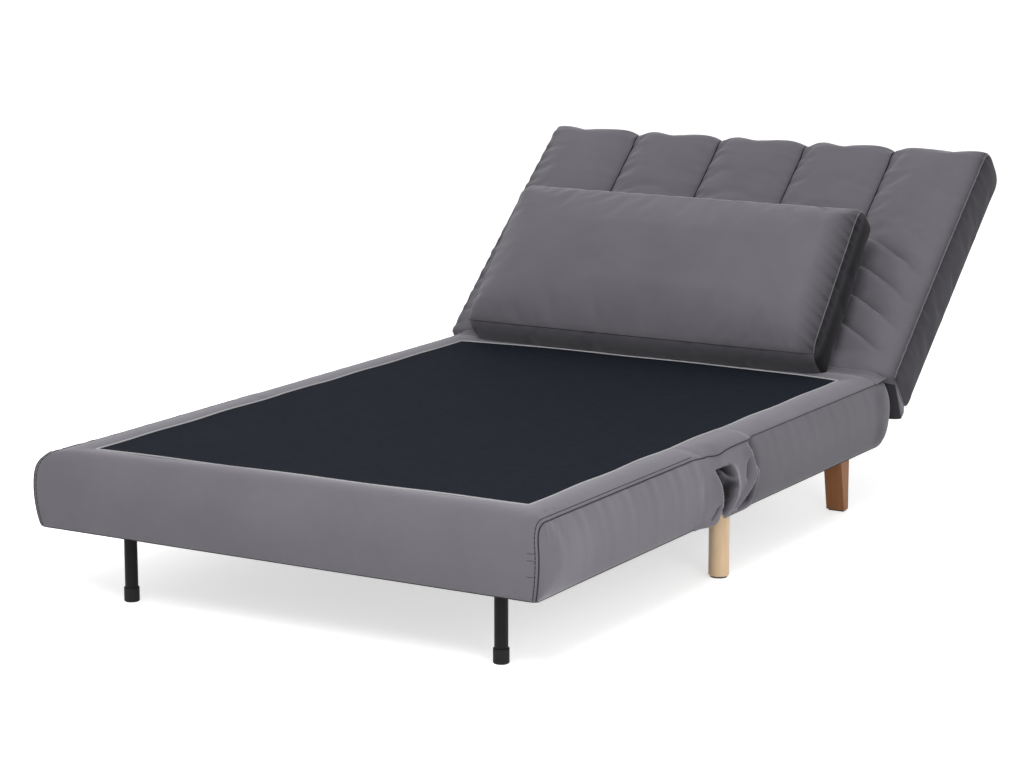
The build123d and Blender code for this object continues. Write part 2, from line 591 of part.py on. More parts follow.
# Round legs near the fold
for index, (side, _) in enumerate(SIDES):
    with BuildPart() as round_leg:
        with BuildSketch(Plane.XY.offset(GLIDE_THICK)):
            with Locations(LEG_SPOTS[index]):
                Circle(ROUND_LEG_RADIUS)
        extrude(amount=LEG_TOP - GLIDE_THICK)
        chamfer(round_leg.faces().sort_by(Axis.Z)[0].edges(), LEG_CHAMFER)
        with BuildSketch(Plane.XY.offset(LEG_TOP)):
            with Locations(LEG_SPOTS[index]):
                Circle(STUD_RADIUS)
        extrude(amount=-STUD_LENGTH, mode=Mode.SUBTRACT)
    save(round_leg, f"round_leg_{side}")

# Rear legs taper down from the front, with an upright rear face
rear_leg_back = REAR_LEG_Y + REAR_LEG_TOP_DEPTH / 2
for index, (side, sign) in enumerate(SIDES):
    with BuildPart() as rear_leg:
        with BuildSketch(Plane.YZ.offset(sign * REAR_LEG_X)):
            with BuildLine():
                Polyline(
                    (rear_leg_back - REAR_LEG_TOP_DEPTH, LEG_TOP),
                    (rear_leg_back, LEG_TOP),
                    (rear_leg_back, GLIDE_THICK),
                    (rear_leg_back - REAR_LEG_FOOT_DEPTH, GLIDE_THICK),
                    close=True,
                )
            make_face()
        extrude(amount=REAR_LEG_WIDTH / 2, both=True)
        chamfer(rear_leg.edges().filter_by(Axis.Z), LEG_CHAMFER)
        with BuildSketch(Plane.XY.offset(LEG_TOP)):
            with Locations(LEG_SPOTS[len(SIDES) + index]):
                Circle(STUD_RADIUS)
        extrude(amount=-STUD_LENGTH, mode=Mode.SUBTRACT)
    save(rear_leg, f"rear_leg_{side}")

with BuildPart() as leg_glides:
    with BuildSketch():
        with Locations(*LEG_SPOTS[: len(SIDES)]):
            Circle(ROUND_LEG_RADIUS - GLIDE_INSET)
        with Locations(
            *[(sign * REAR_LEG_X, rear_leg_back - REAR_LEG_FOOT_DEPTH / 2) for _, sign in SIDES]
        ):
            Rectangle(REAR_LEG_WIDTH - 2 * GLIDE_INSET, REAR_LEG_FOOT_DEPTH - 2 * GLIDE_INSET)
    extrude(amount=GLIDE_THICK)
save(leg_glides, "leg_glides")

# Folding metal legs: cross tube, two leg tubes and their rubber caps
with BuildPart() as leg_cross_tube:
    with BuildSketch(Plane.YZ):
        with Locations((LEG_RAIL_Y, LEG_AXIS_Z)):
            Circle(CROSS_RADIUS)
            Circle(CROSS_RADIUS - TUBE_WALL, mode=Mode.SUBTRACT)
    extrude(amount=FRONT_LEG_X + TUBE_RADIUS, both=True)
save(leg_cross_tube, "leg_cross_tube")

for side, sign in SIDES:
    with BuildPart() as front_leg:
        with BuildSketch(Plane.XY.offset(CAP_FLOOR)):
            with Locations((sign * FRONT_LEG_X, LEG_RAIL_Y)):
                Circle(TUBE_RADIUS)
        extrude(amount=LEG_AXIS_Z + TUBE_RADIUS - CAP_FLOOR)
        with BuildSketch(Plane.XY.offset(CAP_FLOOR)):
            with Locations((sign * FRONT_LEG_X, LEG_RAIL_Y)):
                Circle(TUBE_RADIUS - TUBE_WALL)
        extrude(amount=LEG_AXIS_Z - CROSS_RADIUS - 2 * TUBE_WALL - CAP_FLOOR, mode=Mode.SUBTRACT)
        with BuildSketch(Plane.YZ.offset(sign * FRONT_LEG_X)):
            with Locations((LEG_RAIL_Y, LEG_AXIS_Z)):
                Circle(CROSS_RADIUS + RUNNING_CLEARANCE)
        extrude(amount=2 * TUBE_RADIUS, both=True, mode=Mode.SUBTRACT)
    save(front_leg, f"front_leg_{side}")

with BuildPart() as leg_caps:
    with BuildSketch():
        with Locations(*[(sign * FRONT_LEG_X, LEG_RAIL_Y) for _, sign in SIDES]):
            Circle(CAP_RADIUS)
    extrude(amount=CAP_HEIGHT)
    chamfer(leg_caps.faces().group_by(Axis.Z)[0].edges(), LEG_CHAMFER)
    with BuildSketch(Plane.XY.offset(CAP_FLOOR)):
        with Locations(*[(sign * FRONT_LEG_X, LEG_RAIL_Y) for _, sign in SIDES]):
            Circle(TUBE_RADIUS + RUNNING_CLEARANCE)
    extrude(amount=CAP_HEIGHT, mode=Mode.SUBTRACT)
save(leg_caps, "leg_caps")

# Clips under the leg rail, in which the cross tube turns, and their screws
with BuildPart() as leg_clips:
    with BuildSketch(Plane.XY.offset(LEG_AXIS_Z - CROSS_RADIUS - CLIP_WALL)):
        with Locations(*[(sign * CLIP_X, LEG_RAIL_Y) for _, sign in SIDES]):
            Rectangle(CLIP_LENGTH, 2 * (CROSS_RADIUS + CLIP_WALL))
    extrude(amount=FLOOR_TOP - LEG_AXIS_Z + CROSS_RADIUS + CLIP_WALL)
    with BuildSketch(Plane.YZ):
        with Locations((LEG_RAIL_Y, LEG_AXIS_Z)):
            Circle(CROSS_RADIUS + RUNNING_CLEARANCE)
    extrude(amount=WIDTH, both=True, mode=Mode.SUBTRACT)
    with BuildSketch(Plane.XY.offset(FLOOR_TOP)):
        with Locations(*CLIP_SCREW_SPOTS):
            Circle(SCREW_RADIUS)
    extrude(amount=-CLIP_SCREW_GRIP, mode=Mode.SUBTRACT)
save(leg_clips, "leg_clips")

with BuildPart() as clip_screws:
    with BuildSketch(Plane.XY.offset(FLOOR_TOP - CLIP_SCREW_GRIP)):
        with Locations(*CLIP_SCREW_SPOTS):
            Circle(SCREW_RADIUS)
    extrude(amount=CLIP_SCREW_GRIP + SCREW_LENGTH)
save(clip_screws, "clip_screws")

# Fold hinges: two leaves on the facing rails, knuckles on the fold axis and a pin through them
tab = HINGE_LENGTH / 3
tab_top = HINGE_Z
leaf_top = HINGE_Z - KNUCKLE_RADIUS - KNUCKLE_GAP
leaf_low = HINGE_Z - LEAF_HEIGHT
LEAVES = {
    "fold_hinge_front_leaves": (FRONT_FOLD, 1, (0,)),
    "fold_hinge_base_leaves": (BASE_FOLD, -1, (-1, 1)),
}
for name, (face_y, inward, tabs) in LEAVES.items():
    with BuildPart() as leaves:
        with BuildSketch(Plane.XY.offset(leaf_low)):
            with Locations(*[(x, face_y + inward * LEAF_THICK / 2) for x in HINGE_X]):
                Rectangle(HINGE_LENGTH, LEAF_THICK)
        extrude(amount=leaf_top - leaf_low)
        tab_spots = [(x + place * tab, 0) for x in HINGE_X for place in tabs]
        tab_length = tab - KNUCKLE_GAP
        with BuildSketch(Plane.XY.offset(leaf_top)):
            with Locations(*[(x, face_y + inward * LEAF_THICK / 2) for x, _ in tab_spots]):
                Rectangle(tab_length, LEAF_THICK)
        extrude(amount=tab_top - leaf_top)
        for x, _ in tab_spots:
            with BuildSketch(Plane.YZ.offset(x)):
                with Locations((FOLD_Y, HINGE_Z)):
                    Circle(KNUCKLE_RADIUS)
            extrude(amount=tab_length / 2, both=True)
        with BuildSketch(Plane.YZ):
            with Locations((FOLD_Y, HINGE_Z)):
                Circle(HINGE_PIN_RADIUS + RUNNING_CLEARANCE)
        extrude(amount=WIDTH, both=True, mode=Mode.SUBTRACT)
        with BuildSketch(Plane.XZ.offset(-FOLD_Y)):
            with Locations(*HINGE_SCREW_SPOTS):
                Circle(SCREW_RADIUS)
        extrude(amount=FOLD_GAP, both=True, mode=Mode.SUBTRACT)
    save(leaves, name)

with BuildPart() as fold_hinge_pins:
    for x in HINGE_X:
        with BuildSketch(Plane.YZ.offset(x)):
            with Locations((FOLD_Y, HINGE_Z)):
                Circle(HINGE_PIN_RADIUS)
        extrude(amount=HINGE_LENGTH / 2, both=True)
save(fold_hinge_pins, "fold_hinge_pins")

HINGE_SCREWS = {"front_hinge_screws": (FRONT_FOLD, 1), "base_hinge_screws": (BASE_FOLD, -1)}
for name, (face_y, inward) in HINGE_SCREWS.items():
    with BuildPart() as screws:
        with BuildSketch(Plane.XZ.offset(-face_y - inward * LEAF_THICK)):
            with Locations(*HINGE_SCREW_SPOTS):
                Circle(SCREW_RADIUS)
        extrude(amount=inward * (LEAF_THICK + RAIL_THICK - SCREW_RADIUS))
    save(screws, name)

# Recline hardware: base plates, back arms, turning pins and bolts
PLATE_ENDS = (BASE_PLATE_END[0] - PIVOT_Y, BASE_PLATE_END[1] - PIVOT_Z)
with BuildPart() as recline_base_plates:
    for _, sign in SIDES:
        plate_plane = Plane(origin=(sign * BASE_PLATE_X, PIVOT_Y, PIVOT_Z), x_dir=(0, 1, 0), z_dir=(1, 0, 0))
        extrude(stadium(PLATE_ENDS, PLATE_RADIUS, plate_plane), amount=PLATE_THICK / 2, both=True)
    with BuildSketch(Plane.YZ):
        with Locations((PIVOT_Y, PIVOT_Z)):
            Circle(PIVOT_PIN_RADIUS)
        with Locations(*BASE_BOLT_SPOTS):
            Circle(BOLT_RADIUS)
    extrude(amount=WIDTH, both=True, mode=Mode.SUBTRACT)
save(recline_base_plates, "recline_base_plates")

ARM_BOLT_SPOTS = [(share * ARM_END[0], share * ARM_END[1]) for share in BOLT_SHARES]
with BuildPart() as recline_back_arms:
    for _, sign in SIDES:
        extrude(
            stadium(ARM_END, PLATE_RADIUS, BACK_SIDE.offset(sign * ARM_X)),
            amount=PLATE_THICK / 2,
            both=True,
        )
    with BuildSketch(BACK_SIDE):
        Circle(PIVOT_PIN_RADIUS + RUNNING_CLEARANCE)
        with Locations(*ARM_BOLT_SPOTS):
            Circle(BOLT_RADIUS)
    extrude(amount=WIDTH, both=True, mode=Mode.SUBTRACT)
save(recline_back_arms, "recline_back_arms")

pin_inner = ARM_X - PLATE_THICK / 2 - PLATE_GAP
pin_outer = BASE_PLATE_X + PLATE_THICK / 2
with BuildPart() as recline_pins:
    for _, sign in SIDES:
        for start_x, length, radius in (
            (pin_inner, pin_outer - pin_inner, PIVOT_PIN_RADIUS),
            (pin_inner, -PIN_HEAD_THICK, PIN_HEAD_RADIUS),
            (pin_outer, PIN_HEAD_THICK, PIN_HEAD_RADIUS),
        ):
            with BuildSketch(Plane.YZ.offset(sign * start_x)):
                with Locations((PIVOT_Y, PIVOT_Z)):
                    Circle(radius)
            extrude(amount=sign * length)
save(recline_pins, "recline_pins")

BOLTS = {
    "base_plate_bolts": (Plane.YZ, BASE_BOLT_SPOTS, BASE_PLATE_X),
    "back_arm_bolts": (BACK_SIDE, ARM_BOLT_SPOTS, ARM_X),
}
for name, (plane, spots, plate_x) in BOLTS.items():
    with BuildPart() as bolts:
        for _, sign in SIDES:
            head_x = plate_x - PLATE_THICK / 2
            with BuildSketch(plane.offset(sign * head_x)):
                with Locations(*spots):
                    Circle(BOLT_RADIUS)
            extrude(amount=sign * (PLATE_THICK + BOLT_GRIP))
            with BuildSketch(plane.offset(sign * head_x)):
                with Locations(*spots):
                    Circle(BOLT_HEAD_RADIUS)
            extrude(amount=-sign * BOLT_HEAD_THICK)
    save(bolts, name)

# Backrest pad: crowned channels with a scalloped top, a tray behind for the frame
channel = BACK_WIDTH / CHANNELS
back_side_x = BACK_WIDTH / 2 - SIDE_BULGE
with BuildPart() as back_pad:
    with BuildSketch(BACK_SIDE):
        with BuildLine():
            low = BACK_GAP + BACK_EDGE_RADIUS
            high = BACK_TIP - BACK_EDGE_RADIUS
            rear = -BACK_THICK + BACK_EDGE_RADIUS
            front = BACK_EDGE_RISE - BACK_EDGE_RADIUS
            CenterArc((low, rear), BACK_EDGE_RADIUS, 180, 90)
            Line((low, -BACK_THICK), (high, -BACK_THICK))
            CenterArc((high, rear), BACK_EDGE_RADIUS, 270, 90)
            Line((BACK_TIP, rear), (BACK_TIP, front))
            CenterArc((high, front), BACK_EDGE_RADIUS, 0, 90)
            ThreePointArc((high, BACK_EDGE_RISE), ((low + high) / 2, BACK_BELLY), (low, BACK_EDGE_RISE))
            CenterArc((low, front), BACK_EDGE_RADIUS, 90, 90)
            Line((BACK_GAP, front), (BACK_GAP, rear))
        make_face()
    extrude(amount=BACK_WIDTH, both=True)
    with BuildSketch(BACK_CROSS):
        with BuildLine():
            side_top = -BACK_EDGE_RADIUS / 2
            side_low = -BACK_THICK - SIDE_BULGE
            Line((-back_side_x, side_low), (back_side_x, side_low))
            for _, sign in SIDES:
                ThreePointArc(
                    (sign * back_side_x, side_low),
                    (sign * BACK_WIDTH / 2, (side_top + side_low) / 2),
                    (sign * back_side_x, side_top),
                )
            for index in range(CHANNELS):
                seam_left = -BACK_WIDTH / 2 + index * channel
                ends = [(seam_left, 0), (seam_left + channel, 0)]
                if index == 0:
                    ends[0] = (-back_side_x, side_top)
                if index == CHANNELS - 1:
                    ends[1] = (back_side_x, side_top)
                ThreePointArc(ends[0], (seam_left + channel / 2, CHANNEL_CROWN), ends[1])
        make_face()
    extrude(amount=FAR, both=True, mode=Mode.INTERSECT)
    with BuildSketch(BACK_FACE):
        with BuildLine():
            scallop = BACK_END - CHANNEL_SCALLOP
            clear_x = BACK_WIDTH / 2 + SIDE_BULGE
            clear_low = BACK_GAP - CHANNEL_SCALLOP
            Polyline((-clear_x, scallop), (-clear_x, clear_low), (clear_x, clear_low), (clear_x, scallop))
            for index in range(CHANNELS):
                middle = -BACK_WIDTH / 2 + (index + 0.5) * channel
                start_x = -clear_x if index == 0 else middle - channel / 2
                end_x = clear_x if index == CHANNELS - 1 else middle + channel / 2
                ThreePointArc((start_x, scallop), (middle, BACK_END), (end_x, scallop))
        make_face()
    extrude(amount=2 * BACK_THICK, both=True, mode=Mode.INTERSECT)
    # Tray for the frame and the shallow recess for the rear cloth
    tray_mid = (BACK_FRAME_LOW + BACK_FRAME_HIGH) / 2
    with BuildSketch(BACK_FACE.offset(BACK_FRAME_REAR)):
        with Locations((0, tray_mid)):
            Rectangle(2 * STILE_OUTER, BACK_FRAME_HIGH - BACK_FRAME_LOW)
    extrude(amount=BACK_RAIL_DEPTH, mode=Mode.SUBTRACT)
    with BuildSketch(BACK_FACE.offset(-BACK_THICK)):
        with Locations((0, tray_mid)):
            Rectangle(2 * (STILE_OUTER + PANEL_LAP), BACK_FRAME_HIGH - BACK_FRAME_LOW)
    extrude(amount=BACK_PANEL_THICK, mode=Mode.SUBTRACT)
    # Slots for the arms and room for the turning pin
    for _, sign in SIDES:
        extrude(
            stadium(ARM_END, PLATE_RADIUS + PLATE_SPACE, BACK_SIDE.offset(sign * ARM_X)),
            amount=PLATE_THICK / 2 + PLATE_GAP,
            both=True,
            mode=Mode.SUBTRACT,
        )
        with BuildSketch(BACK_SIDE.offset(sign * (PIN_ROOM_INNER + PIN_ROOM_OUTER) / 2)):
            Circle(PLATE_RADIUS + PLATE_SPACE)
        extrude(amount=(PIN_ROOM_OUTER - PIN_ROOM_INNER) / 2, both=True, mode=Mode.SUBTRACT)
save(back_pad, "back_pad")

with BuildPart() as back_rear_cloth:
    with BuildSketch(BACK_FACE.offset(-BACK_THICK)):
        with Locations((0, tray_mid)):
            Rectangle(2 * (STILE_OUTER + PANEL_LAP), BACK_FRAME_HIGH - BACK_FRAME_LOW)
    extrude(amount=BACK_PANEL_THICK)
save(back_rear_cloth, "back_rear_cloth")

for side, sign in SIDES:
    with BuildPart() as stile:
        with BuildSketch(BACK_FACE.offset(BACK_FRAME_REAR)):
            with Locations((sign * (STILE_INNER + STILE_OUTER) / 2, tray_mid)):
                Rectangle(RAIL_THICK, BACK_FRAME_HIGH - BACK_FRAME_LOW)
        extrude(amount=BACK_RAIL_DEPTH)
        with BuildSketch(BACK_SIDE.offset(sign * STILE_INNER)):
            with Locations(*ARM_BOLT_SPOTS):
                Circle(BOLT_RADIUS)
        extrude(amount=sign * BOLT_GRIP, mode=Mode.SUBTRACT)
    save(stile, f"back_stile_{side}")

BACK_RAILS = {
    "back_bottom_rail": (BACK_FRAME_LOW, STILE_INNER - PLATE_THICK - PLATE_GAP),
    "back_top_rail": (BACK_FRAME_HIGH - RAIL_THICK, STILE_INNER),
}
for name, (low_s, half_width) in BACK_RAILS.items():
    with BuildPart() as rail:
        with BuildSketch(BACK_FACE.offset(BACK_FRAME_REAR)):
            with Locations((0, low_s + RAIL_THICK / 2)):
                Rectangle(2 * half_width, RAIL_THICK)
        extrude(amount=BACK_RAIL_DEPTH)
    save(rail, name)

slat_low = ARM_END[0] + PLATE_RADIUS
slat_pitch = (BACK_FRAME_HIGH - RAIL_THICK - slat_low) / BACK_SLATS
with BuildPart() as back_slats:
    with BuildSketch(BACK_FACE.offset(BACK_FRAME_FRONT - SLAT_THICK)):
        with Locations(*[(0, slat_low + (index + 0.5) * slat_pitch) for index in range(BACK_SLATS)]):
            Rectangle(2 * STILE_INNER, SLAT_WIDTH)
    extrude(amount=SLAT_THICK)
save(back_slats, "back_slats")

# Loose pillow: boxed edge, crowned faces, drawn-in ends and a slumped lower front
with BuildPart() as pillow:
    with BuildSketch(PILLOW_SIDE):
        with BuildLine():
            lower_rear = (0, 0)
            upper_rear = (PILLOW_HEIGHT - PILLOW_SLUMP, PILLOW_TOP_LEAN)
            upper_front = (PILLOW_HEIGHT - PILLOW_SLUMP, PILLOW_BOX)
            lower_front = (-PILLOW_SLUMP, PILLOW_BOX)
            ThreePointArc(lower_rear, (pillow_mid, -PILLOW_REAR_CROWN), upper_rear)
            ThreePointArc(
                upper_rear,
                (upper_rear[0] + PILLOW_TOP_CROWN, (PILLOW_TOP_LEAN + PILLOW_BOX) / 2),
                upper_front,
            )
            ThreePointArc(upper_front, (pillow_mid, PILLOW_BOX + PILLOW_FRONT_CROWN), lower_front)
            Line(lower_front, lower_rear)
        make_face()
    extrude(amount=PILLOW_WIDTH, both=True)
    with BuildSketch(PILLOW_CROSS):
        with BuildLine():
            full_x = PILLOW_WIDTH / 2 + PILLOW_FULLNESS
            full_rear = -PILLOW_REAR_CROWN - PILLOW_FULLNESS
            full_front = PILLOW_BOX + PILLOW_FRONT_CROWN + PILLOW_FULLNESS
            ThreePointArc((-full_x, 0), (0, full_rear), (full_x, 0))
            Line((full_x, 0), (full_x, PILLOW_BOX))
            ThreePointArc((full_x, PILLOW_BOX), (0, full_front), (-full_x, PILLOW_BOX))
            Line((-full_x, PILLOW_BOX), (-full_x, 0))
        make_face()
    extrude(amount=FAR, both=True, mode=Mode.INTERSECT)
    with BuildSketch(PILLOW_FACE):
        with BuildLine():
            end_x = PILLOW_WIDTH / 2
            low_v = -2 * PILLOW_SLUMP
            high_v = PILLOW_HEIGHT - PILLOW_SLUMP
            mid_v = (high_v - PILLOW_SLUMP) / 2
            top_v = high_v + PILLOW_TOP_CROWN + PILLOW_FULLNESS
            ThreePointArc((-end_x, high_v), (0, top_v), (end_x, high_v))
            ThreePointArc((end_x, high_v), (end_x - PILLOW_SIDE_DRAW, mid_v), (end_x, low_v))
            Line((end_x, low_v), (-end_x, low_v))
            ThreePointArc((-end_x, low_v), (-end_x + PILLOW_SIDE_DRAW, mid_v), (-end_x, high_v))
        make_face()
    extrude(amount=FAR, both=True, mode=Mode.INTERSECT)
save(pillow, "pillow")

# Gathered velvet in the notch at each side of the fold, with its main folds
with BuildPart() as fold_gussets:
    with BuildSketch(Plane.XY):
        with BuildLine():
            inner_start = (notch_x + SOFT_CLEAR, BASE_FOLD)
            inner_mid = (notch_mid[0] + SOFT_CLEAR, notch_mid[1])
            inner_end = (WIDTH / 2 + SOFT_CLEAR, notch_y)
            outer_start = (notch_x + GUSSET_DEPTH / 2, BASE_FOLD)
            ThreePointArc(inner_start, inner_mid, inner_end)
            Line(inner_start, outer_start)
            step_x = (inner_end[0] - outer_start[0]) / GUSSET_FOLDS
            step_y = (inner_end[1] - outer_start[1]) / GUSSET_FOLDS
            for index in range(GUSSET_FOLDS):
                fold_start = (outer_start[0] + index * step_x, outer_start[1] + index * step_y)
                fold_end = (fold_start[0] + step_x, fold_start[1] + step_y)
                fold_mid = (fold_start[0] + step_x / 2 + GUSSET_PUFF, fold_start[1] + step_y / 2)
                ThreePointArc(fold_start, fold_mid, fold_end)
        make_face()
        mirror(about=Plane.YZ)
    extrude(amount=PANEL_TOP)
    extrude(section_cross(), amount=FAR, both=True, mode=Mode.INTERSECT)
save(fold_gussets, "fold_gussets")

# Cloth sling that closes the gap between the base and the backrest
def back_point(along, out):
    """Place of a backrest point, along the slope and out from its face, seen from the side."""
    return (PIVOT_Y + along * COS_BACK - out * SIN_BACK, PIVOT_Z + along * SIN_BACK + out * COS_BACK)


with BuildPart() as rear_gusset:
    with BuildSketch(Plane.YZ):
        with BuildLine():
            base_low = (BASE_REAR + SOFT_CLEAR, PIVOT_Z - SLING_DROP)
            base_high = (BASE_REAR + SOFT_CLEAR, base_low[1] + SLING_THICK)
            back_low = back_point(BACK_GAP - SOFT_CLEAR, -SLING_REACH)
            back_high = back_point(BACK_GAP - SOFT_CLEAR, -SLING_REACH + SLING_THICK)
            sag_low = ((base_low[0] + back_low[0]) / 2, (base_low[1] + back_low[1]) / 2 - SLING_SAG)
            sag_high = (sag_low[0], sag_low[1] + SLING_THICK)
            ThreePointArc(base_low, sag_low, back_low)
            ThreePointArc(base_high, sag_high, back_high)
            Line(base_low, base_high)
            Line(back_low, back_high)
        make_face()
    extrude(amount=SIDE_X - SLING_INSET, both=True)
save(rear_gusset, "rear_gusset")
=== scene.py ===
import json
from math import cos, pi, radians, sin

import bpy
import numpy as np
from mathutils.bvhtree import BVHTree
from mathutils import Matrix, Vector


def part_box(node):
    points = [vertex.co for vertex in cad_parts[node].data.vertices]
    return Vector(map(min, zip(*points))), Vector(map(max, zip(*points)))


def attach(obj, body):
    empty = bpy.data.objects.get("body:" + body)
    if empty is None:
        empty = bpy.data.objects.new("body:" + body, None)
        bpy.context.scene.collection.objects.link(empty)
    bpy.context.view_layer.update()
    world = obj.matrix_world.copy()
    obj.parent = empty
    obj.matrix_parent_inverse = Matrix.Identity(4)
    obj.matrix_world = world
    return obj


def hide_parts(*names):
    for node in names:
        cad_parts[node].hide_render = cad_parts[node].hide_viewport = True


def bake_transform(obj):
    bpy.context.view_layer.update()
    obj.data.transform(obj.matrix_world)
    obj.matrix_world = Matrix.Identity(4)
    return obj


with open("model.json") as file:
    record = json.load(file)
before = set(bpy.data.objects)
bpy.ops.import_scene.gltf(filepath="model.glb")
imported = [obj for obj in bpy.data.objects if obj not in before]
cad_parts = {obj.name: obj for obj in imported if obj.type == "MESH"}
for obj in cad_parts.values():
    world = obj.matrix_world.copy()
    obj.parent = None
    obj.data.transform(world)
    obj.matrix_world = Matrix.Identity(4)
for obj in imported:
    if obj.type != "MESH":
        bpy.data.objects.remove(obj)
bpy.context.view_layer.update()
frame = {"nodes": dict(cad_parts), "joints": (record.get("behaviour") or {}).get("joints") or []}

# Places read from the frame, in metres
JOINTS = {joint["name"]: joint for joint in frame["joints"]}
FOLD_Y, FOLD_Z = JOINTS["front_fold"]["pos_m"][1:]
PIVOT_Y, PIVOT_Z = JOINTS["back_recline"]["pos_m"][1:]
BACK_ANGLE = radians(-JOINTS["back_recline"]["range_deg"][0])
FRONT_LOW, FRONT_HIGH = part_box("front_pad")
BASE_LOW, BASE_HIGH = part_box("base_pad")
PANEL_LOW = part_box("front_panel")[0]
PANEL_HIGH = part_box("base_panel")[1]
PILLOW_LOW, PILLOW_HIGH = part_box("pillow")
HALF_WIDTH = BASE_HIGH.x
PANEL_HALF = PANEL_HIGH.x
PAD_TOP = BASE_HIGH.z
UNDERSIDE = BASE_LOW.z
MID_Z = (PAD_TOP + UNDERSIDE) / 2

# Sewn forms of the two sections
SIDE_BULGE = 0.010
FRONT_BULGE = 0.012
BORDER_DROP = 0.008
RIM_DROP = 0.012
PANEL_SKEW = 0.020
SEAM_RADIUS = 0.006
LINING_ROOM = 0.0012
GATHER_REACH = 0.195
NOTCH_REACH = 0.215
FOLD_FACING = 0.0028
FRAME_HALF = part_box("base_lining")[1].x
PANEL_TAIL = 0.010
PANEL_BOW = 0.022
PANEL_LIFT = 0.0008

# Cover meshes, how they swell, and how dark the painted shade of a full fold is
CELL = 0.0095
SIM_FRAMES = 20
FIRM_EDGE = 0.75
FULL_SHADE_TONE = 0.12

# Channels under the front section for the folded legs
LEG_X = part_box("leg_caps")[1].x - 0.013
LEG_Y = JOINTS["leg_fold"]["pos_m"][1]
LEG_STOW = 0.161
CHANNEL_HALF = 0.017
CHANNEL_TOP = 0.172

# Backrest, along its slope and out from its face
BACK_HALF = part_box("back_pad")[1].x
BACK_GAP = 0.004
BACK_LENGTH = 0.578
BACK_THICK = 0.092
CHANNELS = 5
CHANNEL_PUFF = 0.019
CHANNEL_SEAM = 0.002
CHANNEL_SCALLOP = 0.007

# Loose pillow, from its lower rear seam
PILLOW_HALF = PILLOW_HIGH.x
PILLOW_LOW_V = -0.015
PILLOW_HIGH_V = 0.326
PILLOW_BOX = 0.095
PILLOW_CROWN = 0.026
PILLOW_SHIFT = -0.010

# Slopes of the back and the pillow: foot and angle
BACK_SLOPE = (PIVOT_Y, PIVOT_Z, BACK_ANGLE)
PILLOW_SLOPE = (BASE_HIGH.y - 0.016, PILLOW_LOW.z, BACK_ANGLE + radians(9))


# Node helpers


def node(tree, kind, **values):
    """Add a node; plain values go to its sockets by name or number, settings to its attributes."""
    made = tree.nodes.new(kind)
    for key, value in values.items():
        if key.startswith("set_"):
            setattr(made, key[4:], value)
            continue
        socket = made.inputs[int(key[1:])] if key[1:].isdigit() else made.inputs[key.replace("_", " ")]
        if isinstance(value, bpy.types.NodeSocket):
            tree.links.new(value, socket)
        else:
            socket.default_value = value
    return made


def add_inputs(tree, inputs):
    """Give a node tree its number inputs."""
    for socket, value in inputs.items():
        tree.interface.new_socket(socket, in_out="INPUT", socket_type="NodeSocketFloat").default_value = value


def start_group(name, **inputs):
    """Start a shader node group that makes a tone and a height at each place of an object."""
    tree = bpy.data.node_groups.new(name, "ShaderNodeTree")
    add_inputs(tree, inputs)
    for socket in ("Tone", "Height"):
        tree.interface.new_socket(socket, in_out="OUTPUT", socket_type="NodeSocketFloat")
    place = node(tree, "ShaderNodeTexCoord").outputs["Object"]
    return tree, tree.nodes.new("NodeGroupInput").outputs, place


def end_group(tree, tone, height):
    """Close a shader node group with its two values."""
    node(tree, "NodeGroupOutput", Tone=tone, Height=height)
    return tree


def place_group(tree, made, **values):
    """Place a node group in a material, with its own values."""
    placed = tree.nodes.new("ShaderNodeGroup")
    placed.node_tree = made
    for key, value in values.items():
        placed.inputs[key.replace("_", " ")].default_value = value
    return placed.outputs


def start_material(name, **sockets):
    """Empty Principled material; returns it with its tree and shader."""
    material = bpy.data.materials.new(name)
    material.use_nodes = True
    tree = material.node_tree
    shader = tree.nodes["Principled BSDF"]
    for key, value in sockets.items():
        shader.inputs[key.replace("_", " ")].default_value = value
    return material, tree, shader


def tint(tree, factor, dark, light):
    """Colour between two tones by a factor from 0 to 1."""
    mix = node(tree, "ShaderNodeMix", set_data_type="RGBA")
    mix.inputs["A"].default_value = (*dark, 1)
    mix.inputs["B"].default_value = (*light, 1)
    tree.links.new(factor, mix.inputs["Factor"])
    return mix.outputs["Result"]


def bump(tree, shader, height, strength, distance):
    """Relief of a surface, in metres."""
    made = node(tree, "ShaderNodeBump", Strength=strength, Distance=distance, Height=height)
    tree.links.new(made.outputs["Normal"], shader.inputs["Normal"])


def noise(tree, place, scale, detail, distortion=0.0):
    """Value of a noise texture."""
    made = node(tree, "ShaderNodeTexNoise", Vector=place, Scale=scale, Detail=detail, Distortion=distortion)
    return made.outputs[0]


def scaled_sum(tree, value, factor, added):
    """A value times a factor, plus another value."""
    made = node(tree, "ShaderNodeMath", set_operation="MULTIPLY_ADD", _0=value, _1=factor, _2=added)
    return made.outputs[0]


def nap_group():
    """Pile of a brushed cloth: broad stroked patches, soft crush marks and single fibres."""
    tree, given, place = start_group("pile nap", Patch=7.0, Crush=38.0, Fibre=900.0)
    crush = noise(tree, place, given["Crush"], 3.0, 0.6)
    fibre = noise(tree, place, given["Fibre"], 1.0)
    broad = scaled_sum(tree, noise(tree, place, given["Patch"], 2.0), 0.75, -0.1)
    tone = scaled_sum(tree, fibre, 0.16, scaled_sum(tree, crush, 0.3, broad))
    return end_group(tree, tone, scaled_sum(tree, crush, 0.5, fibre))


